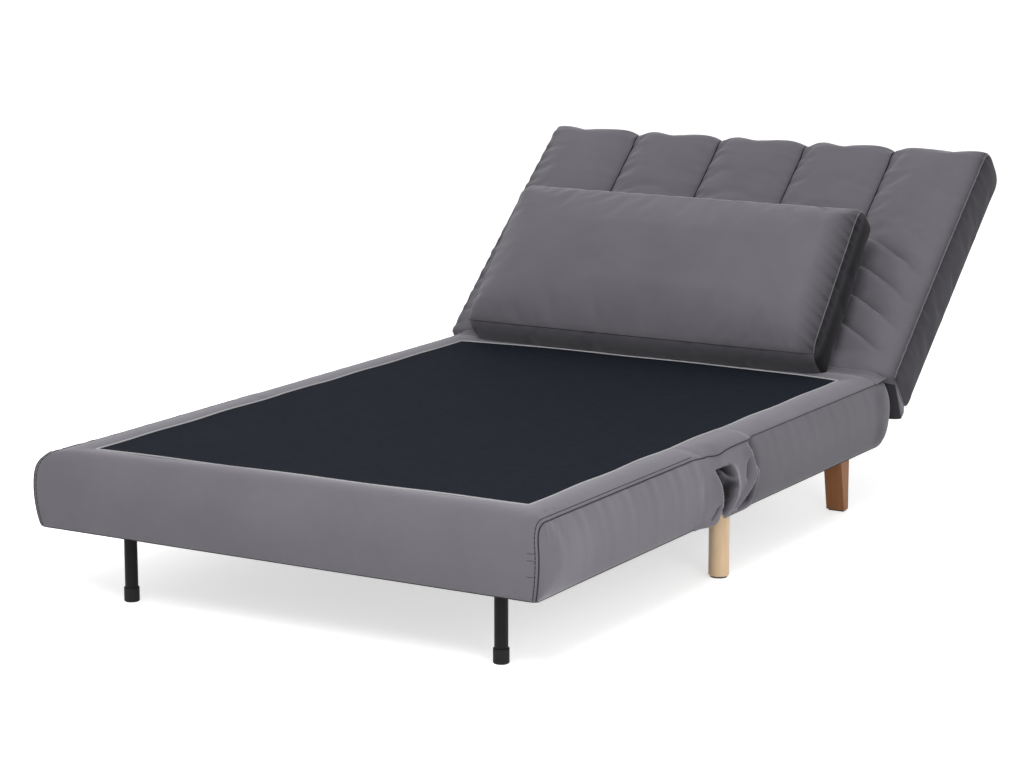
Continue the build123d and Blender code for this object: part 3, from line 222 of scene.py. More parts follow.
def weave_group():
    """Plain weave: crossed threads with uneven yarn."""
    tree, given, place = start_group("plain weave", Threads=700.0, Slub=60.0)
    yarn = {"Vector": place, "Scale": given["Threads"], "Distortion": 1.2, "Detail": 1.0}
    warp = node(tree, "ShaderNodeTexWave", set_bands_direction="X", **yarn).outputs[1]
    weft = node(tree, "ShaderNodeTexWave", set_bands_direction="Y", **yarn).outputs[1]
    crossed = node(tree, "ShaderNodeMath", set_operation="MULTIPLY", _0=warp, _1=weft).outputs[0]
    slub = noise(tree, place, given["Slub"], 3.0)
    return end_group(tree, scaled_sum(tree, crossed, 0.5, slub), crossed)


def grain_group():
    """Wood grain along the Z axis: growth bands and fine pores."""
    tree, given, place = start_group("wood grain", Bands=55.0, Stretch=0.06, Pores=900.0)
    scale = node(tree, "ShaderNodeCombineXYZ", X=1.0, Y=1.0, Z=given["Stretch"]).outputs[0]
    along = node(tree, "ShaderNodeVectorMath", set_operation="MULTIPLY", _0=place, _1=scale).outputs[0]
    bands = noise(tree, along, given["Bands"], 4.0, 0.8)
    pores = noise(tree, along, given["Pores"], 2.0)
    return end_group(tree, scaled_sum(tree, pores, 0.35, bands), pores)


def speckle_group():
    """Fine uneven skin of a coating or a moulding, with slow patches of handling."""
    tree, given, place = start_group("fine skin", Skin=1400.0, Patch=22.0)
    skin = noise(tree, place, given["Skin"], 2.0)
    patch = noise(tree, place, given["Patch"], 3.0)
    return end_group(tree, scaled_sum(tree, skin, 0.4, patch), skin)


NAP = nap_group()
WEAVE = weave_group()
GRAIN = grain_group()
SKIN = speckle_group()


def finish_material(name, made, group_values, dark, light, relief, **sockets):
    """Material with colour and relief from a shared group; a mesh's painted shade darkens its folds, seams
    and shaded sides.
    """
    material, tree, shader = start_material(name, **sockets)
    outputs = place_group(tree, made, **group_values)
    # Painted shade: the mesh's shade attribute mixes the colour towards a dark tone
    fold = node(tree, "ShaderNodeAttribute", set_attribute_name="shade").outputs["Fac"]
    colour = node(tree, "ShaderNodeMix", set_data_type="RGBA")
    colour.inputs["B"].default_value = (*(FULL_SHADE_TONE * part for part in dark), 1)
    tree.links.new(tint(tree, outputs["Tone"], dark, light), colour.inputs["A"])
    tree.links.new(fold, colour.inputs["Factor"])
    tree.links.new(colour.outputs["Result"], shader.inputs["Base Color"])
    bump(tree, shader, outputs["Height"], *relief)
    return material


VELVET = finish_material(
    "grey velvet", NAP, {}, (0.106, 0.0995, 0.114), (0.151, 0.143, 0.163), (0.35, 0.0006),
    Roughness=0.92, Specular_IOR_Level=0.18, Sheen_Weight=0.55, Sheen_Roughness=0.42,
    Sheen_Tint=(0.78, 0.77, 0.82, 1),
)
# Darker copy of the velvet for the side and end pieces: painted shade, standing also for the pile laid the
# other way
SHADE_VELVET = finish_material(
    "grey velvet against the pile", NAP, {}, (0.040, 0.0377, 0.043), (0.070, 0.0657, 0.074), (0.35, 0.0006),
    Roughness=0.92, Specular_IOR_Level=0.08, Sheen_Weight=0.10, Sheen_Roughness=0.5,
    Sheen_Tint=(0.78, 0.77, 0.82, 1),
)
# Dark copy of the velvet for seams, hems, stitch rows and creases: painted shade in their grooves
SEAM_SHADE_VELVET = finish_material(
    "velvet drawn into a seam", NAP, {}, (0.020, 0.019, 0.021), (0.035, 0.034, 0.037), (0.35, 0.0004),
    Roughness=0.95, Specular_IOR_Level=0.1, Sheen_Weight=0.1,
)
# Lighter copy of the velvet for the panel hems: painted highlight where the hem catches the light
HEM_HIGHLIGHT_VELVET = finish_material(
    "velvet turned over a hem", NAP, {}, (0.30, 0.298, 0.31), (0.42, 0.417, 0.43), (0.35, 0.0004),
    Roughness=0.9, Specular_IOR_Level=0.18, Sheen_Weight=0.6, Sheen_Roughness=0.4,
)
BLACK_CLOTH = finish_material(
    "black panel cloth", WEAVE, {}, (0.007, 0.0085, 0.0135), (0.0135, 0.0155, 0.0235), (0.25, 0.0003),
    Roughness=0.9, Specular_IOR_Level=0.05,
)
LINING = finish_material(
    "black lining cloth", WEAVE, {"Threads": 320.0}, (0.010, 0.010, 0.011), (0.022, 0.022, 0.024),
    (0.4, 0.0005), Roughness=0.9, Specular_IOR_Level=0.25,
)
REAR_CLOTH = finish_material(
    "grey backing cloth", WEAVE, {"Threads": 420.0}, (0.085, 0.083, 0.09), (0.125, 0.122, 0.13),
    (0.4, 0.0004), Roughness=0.9, Specular_IOR_Level=0.25,
)
BEECH = finish_material(
    "pale beech", GRAIN, {}, (0.58, 0.37, 0.205), (0.82, 0.60, 0.38), (0.15, 0.0003),
    Roughness=0.42, Coat_Weight=0.25, Coat_Roughness=0.25,
)
STAINED = finish_material(
    "brown stained wood", GRAIN, {"Bands": 70.0}, (0.19, 0.062, 0.019), (0.36, 0.155, 0.062), (0.15, 0.0003),
    Roughness=0.5, Specular_IOR_Level=0.25,
)
TIMBER = finish_material(
    "sawn timber", GRAIN, {"Bands": 40.0}, (0.42, 0.28, 0.15), (0.66, 0.48, 0.29), (0.5, 0.0006),
    Roughness=0.75,
)
FOAM = finish_material(
    "cushion foam", SKIN, {"Skin": 700.0}, (0.55, 0.47, 0.3), (0.75, 0.67, 0.46), (0.6, 0.001),
    Roughness=0.95,
)
BLACK_STEEL = finish_material(
    "black coated steel", SKIN, {}, (0.005, 0.005, 0.0055), (0.011, 0.011, 0.012), (0.25, 0.0002),
    Roughness=0.45, Specular_IOR_Level=0.12,
)
RUBBER = finish_material(
    "black rubber", SKIN, {"Skin": 900.0}, (0.005, 0.005, 0.0052), (0.011, 0.011, 0.0115), (0.35, 0.0003),
    Roughness=0.6, Specular_IOR_Level=0.2,
)
PLASTIC = finish_material(
    "black moulded plastic", SKIN, {"Skin": 1100.0}, (0.012, 0.012, 0.012), (0.024, 0.024, 0.025),
    (0.3, 0.0002), Roughness=0.5,
)
ZINC = finish_material(
    "zinc plated steel", SKIN, {"Skin": 300.0}, (0.42, 0.43, 0.45), (0.66, 0.67, 0.69), (0.15, 0.0002),
    Roughness=0.34, Metallic=1.0,
)
THREAD = finish_material(
    "dark thread", SKIN, {"Skin": 2200.0}, (0.007, 0.007, 0.008), (0.016, 0.0155, 0.018), (0.4, 0.0002),
    Roughness=0.8, Specular_IOR_Level=0.1,
)


# Mesh helpers


def lines(low, high, cell, tight=0.0, exact=()):
    """Grid lines about a cell apart, closer together at the ends, with some at exact places."""
    count = max(2, round((high - low) / cell))
    share = np.linspace(0, 1, count + 1)
    made = low + (high - low) * ((1 - tight) * share + tight * (0.5 - 0.5 * np.cos(pi * share)))
    exact = np.array(exact)
    if len(exact):
        clear = np.min(abs(made[:, None] - exact[None]), axis=1) > 0.45 * cell
        clear[[0, -1]] = True
        made = np.sort(np.concatenate([made[clear], exact]))
    return made


def box_grid(xs, ys, zs):
    """Closed box of quads on three sets of lines: points, faces, side of each face, index by lines."""
    shape = (len(xs), len(ys), len(zs))
    outside = np.ones(shape, bool)
    outside[1:-1, 1:-1, 1:-1] = False
    index = np.full(shape, -1)
    index[outside] = np.arange(outside.sum())
    i, j, k = np.nonzero(outside)
    points = np.column_stack([xs[i], ys[j], zs[k]])
    faces = []
    sides = []
    for axis in range(3):
        for end in (0, -1):
            side = np.take(index, end, axis=axis)
            quads = sheet_faces(side)
            outward = (end == -1) == (axis != 1)
            faces.append(quads if outward else quads[:, ::-1])
            sides.append(np.full(len(quads), 2 * axis - end))
    return points, np.concatenate(faces), np.concatenate(sides), index


def sheet_faces(index):
    """Quads between neighbouring rows and columns of a grid of point numbers."""
    return np.stack([index[:-1, :-1], index[1:, :-1], index[1:, 1:], index[:-1, 1:]], axis=-1).reshape(-1, 4)


def grid_faces(shape):
    """Quads of a sheet whose points are counted row by row."""
    return sheet_faces(np.arange(shape[0] * shape[1]).reshape(shape[:2]))


def end_rims(index):
    """Point numbers on the edges of the two end pieces of a closed box."""
    ends = index[[0, -1]]
    return np.concatenate([ends[:, :, [0, -1]].ravel(), ends[:, [0, -1], :].ravel()])


def round_profile(a, b, low, high, radii):
    """Turn the square corners of a profile into arcs. Radii: low-low, high-low, high-high, low-high."""
    for (end_a, end_b), radius in zip(((0, 0), (1, 0), (1, 1), (0, 1)), radii):
        centre_a = high[0] - radius if end_a else low[0] + radius
        centre_b = high[1] - radius if end_b else low[1] + radius
        da, db = a - centre_a, b - centre_b
        corner = (da * (2 * end_a - 1) > 0) & (db * (2 * end_b - 1) > 0)
        length = np.maximum(np.hypot(da, db), 1e-9)
        scale = np.where(corner, np.maximum(abs(da), abs(db)) / length, 1.0)
        a, b = centre_a + da * scale, centre_b + db * scale
    return a, b


def profile_depth(a, b, low, high, radii):
    """How deep a point lies inside a round-cornered profile, and the way inwards."""
    mid_a, mid_b = (low[0] + high[0]) / 2, (low[1] + high[1]) / 2
    sign_a, sign_b = np.where(a > mid_a, 1.0, -1.0), np.where(b > mid_b, 1.0, -1.0)
    low_low, high_low, high_high, low_high = radii
    radius = np.where(
        sign_a > 0, np.where(sign_b > 0, high_high, high_low), np.where(sign_b > 0, low_high, low_low)
    )
    qa = abs(a - mid_a) - ((high[0] - low[0]) / 2 - radius)
    qb = abs(b - mid_b) - ((high[1] - low[1]) / 2 - radius)
    corner = (qa > 0) & (qb > 0)
    length = np.maximum(np.hypot(qa, qb), 1e-9)
    depth = np.where(corner, radius - length, radius - np.maximum(qa, qb))
    way_a = np.where(corner, -sign_a * qa / length, np.where(qa > qb, -sign_a, 0.0))
    way_b = np.where(corner, -sign_b * qb / length, np.where(qa > qb, 0.0, -sign_b))
    return np.maximum(depth, 0), way_a, way_b


def sew_ends(x, a, b, half, low, high, radii, radius):
    """Round the edge between a wrapped cloth and its flat end pieces, so that the seam lies on the corner."""
    depth, way_a, way_b = profile_depth(a, b, low, high, radii)
    inset = half - abs(x)
    near = (inset < radius) & (depth < radius)
    u, v = radius - inset, radius - depth
    scale = np.where(near, np.maximum(u, v) / np.maximum(np.hypot(u, v), 1e-9), 1.0)
    moved = np.where(near, radius - v * scale - depth, 0.0)
    x = np.where(near, np.sign(x) * (half - radius + u * scale), x)
    return x, a + way_a * moved, b + way_b * moved, depth


def ease(value):
    """Smooth step from 0 to 1."""
    value = np.clip(value, 0, 1)
    return value * value * (3 - 2 * value)


def crest(distance, before, behind=None):
    """Cross-section of a fold, with its own width on each side or one width."""
    width = before if behind is None else np.where(distance < 0, before, behind)
    return np.exp(-((distance / width) ** 2))


def bulge(share):
    """Round swelling from 0 at a seam to 1 well away from it."""
    return 1 - (1 - np.clip(share, 0, 1)) ** 2


def ripple(along, length, seed):
    """Uneven run of small folds, about a length apart, from -1 to 1."""
    turn = 2 * pi * along / length
    folds = 0.5 * np.sin(turn + seed) + 0.3 * np.sin(1.61 * turn + 1.7 * seed)
    return folds + 0.2 * np.sin(0.53 * turn + 2.9 * seed)


def mesh_piece(name, points, faces, *materials, of_face=None):
    """New object with its place in its mesh."""
    mesh = bpy.data.meshes.new(name)
    mesh.from_pydata([tuple(point) for point in points], [], [tuple(face) for face in faces])
    for material in materials:
        mesh.materials.append(material)
    if of_face is not None:
        mesh.polygons.foreach_set("material_index", np.asarray(of_face, np.int32))
    mesh.polygons.foreach_set("use_smooth", [True] * len(mesh.polygons))
    mesh.update()
    piece = bpy.data.objects.new(name, mesh)
    bpy.context.scene.collection.objects.link(piece)
    return piece


def points_of(piece, values="co"):
    """Mesh points, or another vector of each, as an array."""
    flat = np.empty(len(piece.data.vertices) * 3, np.float32)
    piece.data.vertices.foreach_get(values, flat)
    return flat.reshape(-1, 3).astype(float)


def set_points(piece, points):
    """Write mesh points back."""
    piece.data.vertices.foreach_set("co", np.asarray(points, np.float32).ravel())
    piece.data.update()


def apply_modifiers(piece):
    """Make the modified mesh the piece's own."""
    graph = bpy.context.evaluated_depsgraph_get()
    made = bpy.data.meshes.new_from_object(piece.evaluated_get(graph))
    piece.modifiers.clear()
    piece.data = made


def inflate(piece, sewn, pressure, slack, most, stiffness=0.5):
    """Let the cover swell between its sewn lines, no further than a set distance."""
    start = points_of(piece)
    held = piece.vertex_groups.new(name="sewn")
    held.add([int(number) for number in np.unique(sewn[sewn >= 0])], 1.0, "REPLACE")
    settings = piece.modifiers.new("cover", "CLOTH").settings
    settings.vertex_group_mass = held.name
    settings.use_pressure = True
    settings.uniform_pressure_force = pressure
    settings.shrink_min = -slack
    settings.bending_stiffness = stiffness
    settings.effector_weights.gravity = 0
    scene = bpy.context.scene
    for step in range(1, SIM_FRAMES + 1):
        scene.frame_set(step)
    apply_modifiers(piece)
    piece.vertex_groups.clear()
    scene.frame_set(1)
    move = points_of(piece) - start
    length = np.linalg.norm(move, axis=1, keepdims=True)
    set_points(piece, start + move * np.minimum(1, most / np.maximum(length, 1e-9)))


def subdivide(piece, sharp):
    """One level of subdivision with firm sewn edges; the first points keep their numbers."""
    mesh = piece.data
    pairs = np.empty(2 * len(mesh.edges), np.int32)
    mesh.edges.foreach_get("vertices", pairs)
    firm = np.isin(pairs, sharp).reshape(-1, 2).all(axis=1)
    crease = mesh.attributes.new("crease_edge", "FLOAT", "EDGE")
    crease.data.foreach_set("value", FIRM_EDGE * firm.astype(np.float32))
    smooth = piece.modifiers.new("smooth", "SUBSURF")
    smooth.levels = 1
    smooth.render_levels = 1
    apply_modifiers(piece)


def shift_along_normals(piece, heights):
    """Raise or sink each point of a piece along its own normal."""
    set_points(piece, points_of(piece) + points_of(piece, "normal") * heights[:, None])


def paint_shade(piece, values):
    """Painted shade of each point, from 0 to 1, for folds, seams and shaded sides."""
    shade = piece.data.attributes.new("shade", "FLOAT", "POINT")
    shade.data.foreach_set("value", np.clip(values, 0, 1).astype(np.float32))


# Sewn lines


def line_tree(name, inputs):
    """Start a tree that turns a chain of edges into sewn detail."""
    tree = bpy.data.node_groups.new(name, "GeometryNodeTree")
    tree.interface.new_socket("Geometry", in_out="INPUT", socket_type="NodeSocketGeometry")
    add_inputs(tree, inputs)
    tree.interface.new_socket("Material", in_out="INPUT", socket_type="NodeSocketMaterial")
    tree.interface.new_socket("Geometry", in_out="OUTPUT", socket_type="NodeSocketGeometry")
    given = tree.nodes.new("NodeGroupInput").outputs
    return tree, given, node(tree, "GeometryNodeMeshToCurve", Mesh=given["Geometry"]).outputs[0]


def end_tree(tree, given, made):
    """Close a tree: plain mesh in one material."""
    whole = node(tree, "GeometryNodeRealizeInstances", Geometry=made).outputs[0]
    dressed = node(tree, "GeometryNodeSetMaterial", Geometry=whole, Material=given["Material"]).outputs[0]
    tree.links.new(dressed, tree.nodes.new("NodeGroupOutput").inputs["Geometry"])
    return tree


def welt_tree():
    """Round welt along a chain of edges."""
    tree, given, path = line_tree("sewn welt", {"Radius": 0.001})
    even = node(tree, "GeometryNodeResampleCurve", set_mode="LENGTH", Curve=path, Length=0.006).outputs[0]
    profile = node(tree, "GeometryNodeCurvePrimitiveCircle", Resolution=6, Radius=given["Radius"]).outputs[0]
    tube = node(tree, "GeometryNodeCurveToMesh", Curve=even, Profile_Curve=profile, Fill_Caps=True).outputs[0]
    return end_tree(tree, given, tube)


def stitch_tree():
    """Row of short stitches along a chain of edges."""
    tree, given, path = line_tree("stitch row", {"Spacing": 0.006, "Length": 0.004, "Radius": 0.0006})
    spots = node(
        tree, "GeometryNodeResampleCurve", set_mode="LENGTH", Curve=path, Length=given["Spacing"]
    ).outputs[0]
    along = node(tree, "GeometryNodeInputTangent").outputs[0]
    turn = node(tree, "FunctionNodeAlignRotationToVector", set_axis="Z", Vector=along).outputs[0]
    stitch = node(
        tree, "GeometryNodeMeshCylinder", Vertices=5, Radius=given["Radius"], Depth=given["Length"]
    ).outputs["Mesh"]
    row = node(tree, "GeometryNodeInstanceOnPoints", Points=spots, Instance=stitch, Rotation=turn).outputs[0]
    return end_tree(tree, given, row)


WELT = welt_tree()
STITCHES = stitch_tree()


def sewn_lines(name, tree, paths, body, material, **values):
    """Sewn detail along some paths, on one body or still loose."""
    points = np.concatenate(paths)
    edges = []
    start = 0
    for path in paths:
        edges += [(start + step, start + step + 1) for step in range(len(path) - 1)]
        start += len(path)
    mesh = bpy.data.meshes.new(name)
    mesh.from_pydata([tuple(point) for point in points], edges, [])
    piece = bpy.data.objects.new(name, mesh)
    bpy.context.scene.collection.objects.link(piece)
    given = piece.modifiers.new("sewing", "NODES")
    given.node_group = tree
    for item in tree.interface.items_tree:
        if item.in_out == "INPUT" and item.name in values:
            given[item.identifier] = values[item.name]
        if item.in_out == "INPUT" and item.name == "Material":
            given[item.identifier] = material
    apply_modifiers(piece)
    if body:
        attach(piece, body)
    return piece


# Cushions of the front section and the base


def leg_channels(x, y, z):
    """Raise the underside of the front section where the folded legs lie."""
    behind_tube = y - LEG_Y
    in_legs = abs(abs(x) - LEG_X) < CHANNEL_HALF
    in_legs = in_legs & (abs(behind_tube - LEG_STOW / 2) < LEG_STOW / 2 + CHANNEL_HALF)
    in_tube = (abs(x) < LEG_X + CHANNEL_HALF) & (abs(behind_tube) < CHANNEL_HALF)
    return np.where((in_legs | in_tube) & (z < CHANNEL_TOP), CHANNEL_TOP, z)


def panel_rear(x):
    """Rear edge of the black cloth, bowed back under the pillow."""
    return PANEL_HIGH.y + PANEL_TAIL + PANEL_BOW * np.clip(1 - abs(x / PANEL_HALF) ** 4, 0, 1)


def section_cushion(name, low_y, high_y, radii, at_front, side_at):
    """Sewn cushion of one section: a cloth wrapped round it, closed by flat side pieces."""
    half = HALF_WIDTH - SIDE_BULGE
    low, high = (low_y, UNDERSIDE + LINING_ROOM), (high_y, PAD_TOP - 0.0006)
    walls = ([], [])
    if at_front:
        marks = [side * LEG_X + edge * CHANNEL_HALF for side in (-1, 1) for edge in (-1, 1)]
        ends = [LEG_Y - CHANNEL_HALF, LEG_Y + CHANNEL_HALF, LEG_Y + LEG_STOW + CHANNEL_HALF]
        walls = [[mark + step for mark in places for step in (-0.001, 0.001)] for places in (marks, ends)]
    xs = lines(-half, half, CELL, 0.3, walls[0])
    ys = lines(low_y, high_y, CELL, 0.3, walls[1])
    points, faces, sides, index = box_grid(xs, ys, lines(low[1], high[1], CELL, 0.3))
    x, y, z = points.T
    y, z = round_profile(y, z, low, high, radii)
    x, y, z, depth = sew_ends(x, y, z, half, low, high, radii, SEAM_RADIUS)
    height = (high[1] - low[1]) / 2
    upright = np.clip(1 - ((z - MID_Z) / height) ** 2, 0, 1)
    on_side = ease(1 - (half - abs(x)) / SEAM_RADIUS)
    end_share = np.clip(abs(y - FOLD_Y) / 0.12, 0, 1)
    x = x + np.sign(x) * SIDE_BULGE * on_side * bulge(depth / height) * (0.6 + 0.4 * end_share)
    side_share = np.clip((abs(x) - PANEL_HALF) / (half - PANEL_HALF), 0, 1)
    front_edge = PANEL_LOW.y + PANEL_SKEW * (x / PANEL_HALF + 1) / 2
    front_share = np.clip((front_edge - y) / (front_edge - low_y), 0, 1) if at_front else np.zeros_like(y)
    rear_edge = panel_rear(x)
    rear_share = np.zeros_like(y) if at_front else np.clip((y - rear_edge) / (high_y - rear_edge), 0, 1)
    border = np.clip(np.maximum(np.maximum(side_share, front_share), rear_share), 0, 1)
    fall = BORDER_DROP * (1 - 0.6 * ease(-x / 0.2 - 1)) * np.maximum(side_share, front_share) ** 4
    z = z + (0.0012 * ease(border / 0.06) + 0.0012 * np.sin(pi * border) - fall) * ease((z - MID_Z) / height)
    rim = np.maximum(ease(1 - (half - abs(x)) / 0.03), ease(1 - (y - low_y) / 0.03) if at_front else 0 * y)
    z = z - RIM_DROP * rim * ease((MID_Z - z) / height)
    if at_front:
        level = np.clip((z - MID_Z) / height, -1, 1)
        square = np.where(level < 0, 0.031 + 0.011 * upright, 0.005 + 0.037 * (1 - level**6))
        x = x * (1 + np.where(x < 0, square * ease(-x / 0.2), 0.028 * upright) * ease(1 - (y - low_y) / 0.2))
        y = y - FRONT_BULGE * ease(1 - (y - low_y) / (2 * radii[3])) * upright
        behind = ease(1 - (high_y - y) / 0.06)
        z = z - 0.006 * behind * ease(x / half) * side_share**2 * ease((z - MID_Z) / height)
        z = leg_channels(x, y, z)
    else:
        behind = ease(1 - (high_y - y) / 0.06)
        x = x * (1 + 0.024 * upright * behind)
        y = y + 0.008 * upright * ease(1 - (high_y - y) / 0.03)
    x = np.sign(x) * np.minimum(abs(x), side_at(y))
    places = np.column_stack([x, y, z])
    piece = mesh_piece(name, places, faces, VELVET, LINING, of_face=(sides == 4) & at_front)
    rims = end_rims(index)
    top = index[:, :, -1]
    at_fold = index[:, -1 if at_front else 0, :]
    held = np.concatenate([index[:, :, 0].ravel(), rims, top[border[top] <= 0], at_fold.ravel()])
    inflate(piece, held, pressure=3.0, slack=0.0, most=0.006, stiffness=4.0)
    subdivide(piece, rims)
    return piece, index


def plain_side(y):
    """Half width of a section with plain sides: no limit."""
    return np.full_like(y, 1.0)


def notched_side(y):
    """Half width of the base, set back beside the fold for the gathered cloth."""
    share = np.clip((y - BASE_LOW.y) / NOTCH_REACH, 0, 1)
    notch = HALF_WIDTH + 0.020 - 0.090 * (1 - ease(share)) - 0.016 * (1 - share)
    return np.maximum(notch, FRAME_HALF + 0.001)


front_cushion, front_index = section_cushion(
    "front_cushion", FRONT_LOW.y + FRONT_BULGE, FRONT_HIGH.y + FOLD_FACING, (0.005, 0.016, 0.003, 0.028),
    True, plain_side,
)
base_cushion, base_index = section_cushion(
    "base_cushion", BASE_LOW.y - FOLD_FACING, BASE_HIGH.y, (0.010, 0.026, 0.008, 0.003),
    False, notched_side,
)

for section, seed, sway in ((front_cushion, 1.0, 0.0009), (base_cushion, 4.0, 0.0003)):
    x, y, z = points_of(section).T
    on_side = ease((abs(x) - HALF_WIDTH + 0.016) / 0.006)
    below = np.clip(PAD_TOP - BORDER_DROP - z, 0, 1)
    hang = sway * np.exp(-below / 0.045) * ripple(y + 0.2 * z, 0.048, seed)
    front_gather = 0.0012 * crest(y - FRONT_LOW.y - 0.045, 0.035) * ripple(y + abs(x), 0.016, seed)
    shift_along_normals(section, on_side * (hang + front_gather * np.exp(-below / 0.02)))
    # Painted shade on the sides: heavier on the base's side, darker towards the bottom
    rear = ease((y - FOLD_Y) / 0.05)
    paint_shade(section, on_side * (0.32 * rear + 0.16 * ease((MID_Z - z) / 0.06) * (0.4 + 0.6 * rear)))


# Backrest cushion


def on_slope(slope, x, along, out):
    """Place of a point, along a slope and out from its face."""
    foot_y, foot_z, angle = slope
    y = foot_y + along * cos(angle) - out * sin(angle)
    z = foot_z + along * sin(angle) + out * cos(angle)
    return np.column_stack([x, y, z])


def from_slope(slope, points):
    """Measures of some places on a slope: across, along it, out from its face."""
    foot_y, foot_z, angle = slope
    x, y, z = points.T
    along = (y - foot_y) * cos(angle) + (z - foot_z) * sin(angle)
    return x, along, (z - foot_z) * cos(angle) - (y - foot_y) * sin(angle)


BACK_LOW = (BACK_GAP, -BACK_THICK + 0.0015)
BACK_TOP = (BACK_GAP + BACK_LENGTH, 0.0)
CHANNEL_WIDTH = 2 * BACK_HALF / CHANNELS
BACK_SEAMS = [-BACK_HALF + CHANNEL_WIDTH * (step + 1) for step in range(CHANNELS - 1)]


def back_cushion_piece():
    """Backrest cushion: sewn channels down the front and over the top, flat side pieces and a flat rear."""
    half = BACK_HALF + 0.004
    stops = [-half, *BACK_SEAMS, half]
    spans = [lines(start, stop, CELL, 0.6) for start, stop in zip(stops, stops[1:])]
    xs = np.concatenate([spans[0], *[span[1:] for span in spans[1:]]])
    radii = (0.014, 0.028, 0.028, 0.005)
    points, faces, sides, index = box_grid(
        xs, lines(BACK_LOW[0], BACK_TOP[0], CELL, 0.3), lines(BACK_LOW[1], BACK_TOP[1], CELL, 0.2)
    )
    x, along, out = points.T
    to_seam = np.min(abs(x[:, None] - np.array(BACK_SEAMS)[None]), axis=1)
    to_edge = half - abs(x)
    along, out = round_profile(along, out, BACK_LOW, BACK_TOP, radii)
    x, along, out, depth = sew_ends(x, along, out, half, BACK_LOW, BACK_TOP, radii, SEAM_RADIUS)
    height = BACK_THICK / 2
    on_side = ease(1 - to_edge / SEAM_RADIUS)
    x = x + np.sign(x) * 0.004 * on_side * bulge(depth / height)
    from_edge = np.where(to_edge < CHANNEL_WIDTH / 2, 0.022 + 1.3 * to_edge, 1)
    share = np.clip(np.minimum(to_seam, from_edge) / (CHANNEL_WIDTH / 2), 0, 1)
    puff = 1 - (1 - share) ** 3.2
    on_face = ease((out - BACK_LOW[1]) / BACK_THICK * 1.6 - 0.6)
    on_top = ease((along - BACK_TOP[0] + 0.05) / 0.05)
    puff = 1 - (1 - puff) * (1 - 0.4 * on_top)
    belly = 0.62 + 0.38 * np.sin(pi * np.clip((along - BACK_LOW[0]) / BACK_LENGTH, 0, 1)) ** 0.7
    edge_fall = 0.003 * (1 - np.clip(to_edge / 0.03, 0, 1)) ** 2
    sunk = CHANNEL_SEAM * (1 - puff) * ease(to_edge / 0.05)
    out = out + on_face * (CHANNEL_PUFF * puff * belly - sunk - edge_fall)
    valley = (1 - np.clip(to_seam / (CHANNEL_WIDTH / 2), 0, 1)) ** 7
    along = along + on_top * (0.005 - CHANNEL_SCALLOP * valley + 0.003 * ease(1 - to_edge / 0.08))
    places = on_slope(BACK_SLOPE, x, along, out)
    piece = mesh_piece("back_cushion", places, faces, VELVET, SHADE_VELVET, of_face=sides < 2)
    columns = [int(np.argmin(abs(xs - seam))) for seam in BACK_SEAMS]
    channels = index[columns]
    sewn = np.concatenate([end_rims(index), channels[:, :, -1].ravel(), channels[:, -1, :].ravel()])
    held = np.concatenate([index[:, :, 0].ravel(), index[:, 0, :].ravel(), sewn])
    inflate(piece, held, pressure=3.0, slack=0.02, most=0.010)
    subdivide(piece, sewn)
    return piece, index, columns


back_cushion, back_index, back_columns = back_cushion_piece()


def pucker_back(piece):
    """Short puckers drawn in by the channel seams, and the deeper tucks low down beside the last seam;
    painted shade along the seams, the side edges and the tucks.
    """
    x, along, out = from_slope(BACK_SLOPE, points_of(piece))
    on_face = ease((out + 0.03) / 0.03)
    height = np.zeros_like(x)
    for number, seam in enumerate(BACK_SEAMS):
        for side in (-1, 1):
            gap = side * (x - seam)
            near = np.where(gap >= 0, np.exp(-gap / 0.030), 0) * np.clip(gap / 0.004, 0, 1)
            height += near * 0.0019 * ripple(along + 0.1 * gap, 0.034, 2.3 * number + side)
    gap = BACK_HALF - abs(x)
    height += 0.0015 * np.exp(-gap / 0.03) * ripple(along, 0.03, 5.0)
    last = x - BACK_SEAMS[-1]
    turn = ((along + 0.6 * last - 0.075) / 0.0685) % 1.0
    tuck = turn**1.3 * (1 - ease((turn - 0.88) / 0.12))
    low_down = ease((0.37 - along) / 0.10)
    reach = np.clip(last / 0.01, 0, 1) * (1 - ease((last - 0.080) / 0.110))
    reach = reach * low_down * ease((along - 0.03) / 0.03)
    height += 0.021 * (tuck - 0.3) * reach
    shift_along_normals(piece, height * on_face)
    to_seam = np.min(abs(x[:, None] - np.array(BACK_SEAMS)[None]), axis=1)
    creased = np.maximum(ease((turn - 0.91) / 0.05), np.exp(-turn / 0.16)) * reach
    shade = 0.6 * np.exp(-to_seam / 0.004) + 0.55 * np.exp(-np.clip(gap, 0, 1) / 0.007) + 0.68 * creased
    on_side = ease((abs(x) - BACK_HALF - 0.002) / 0.003)
    rim = 0.6 * np.exp(-np.clip(0.010 - out, 0, 1) / 0.012)
    paint_shade(piece, np.where(on_side > 0.5, rim, shade * on_face))


pucker_back(back_cushion)


# Loose pillow


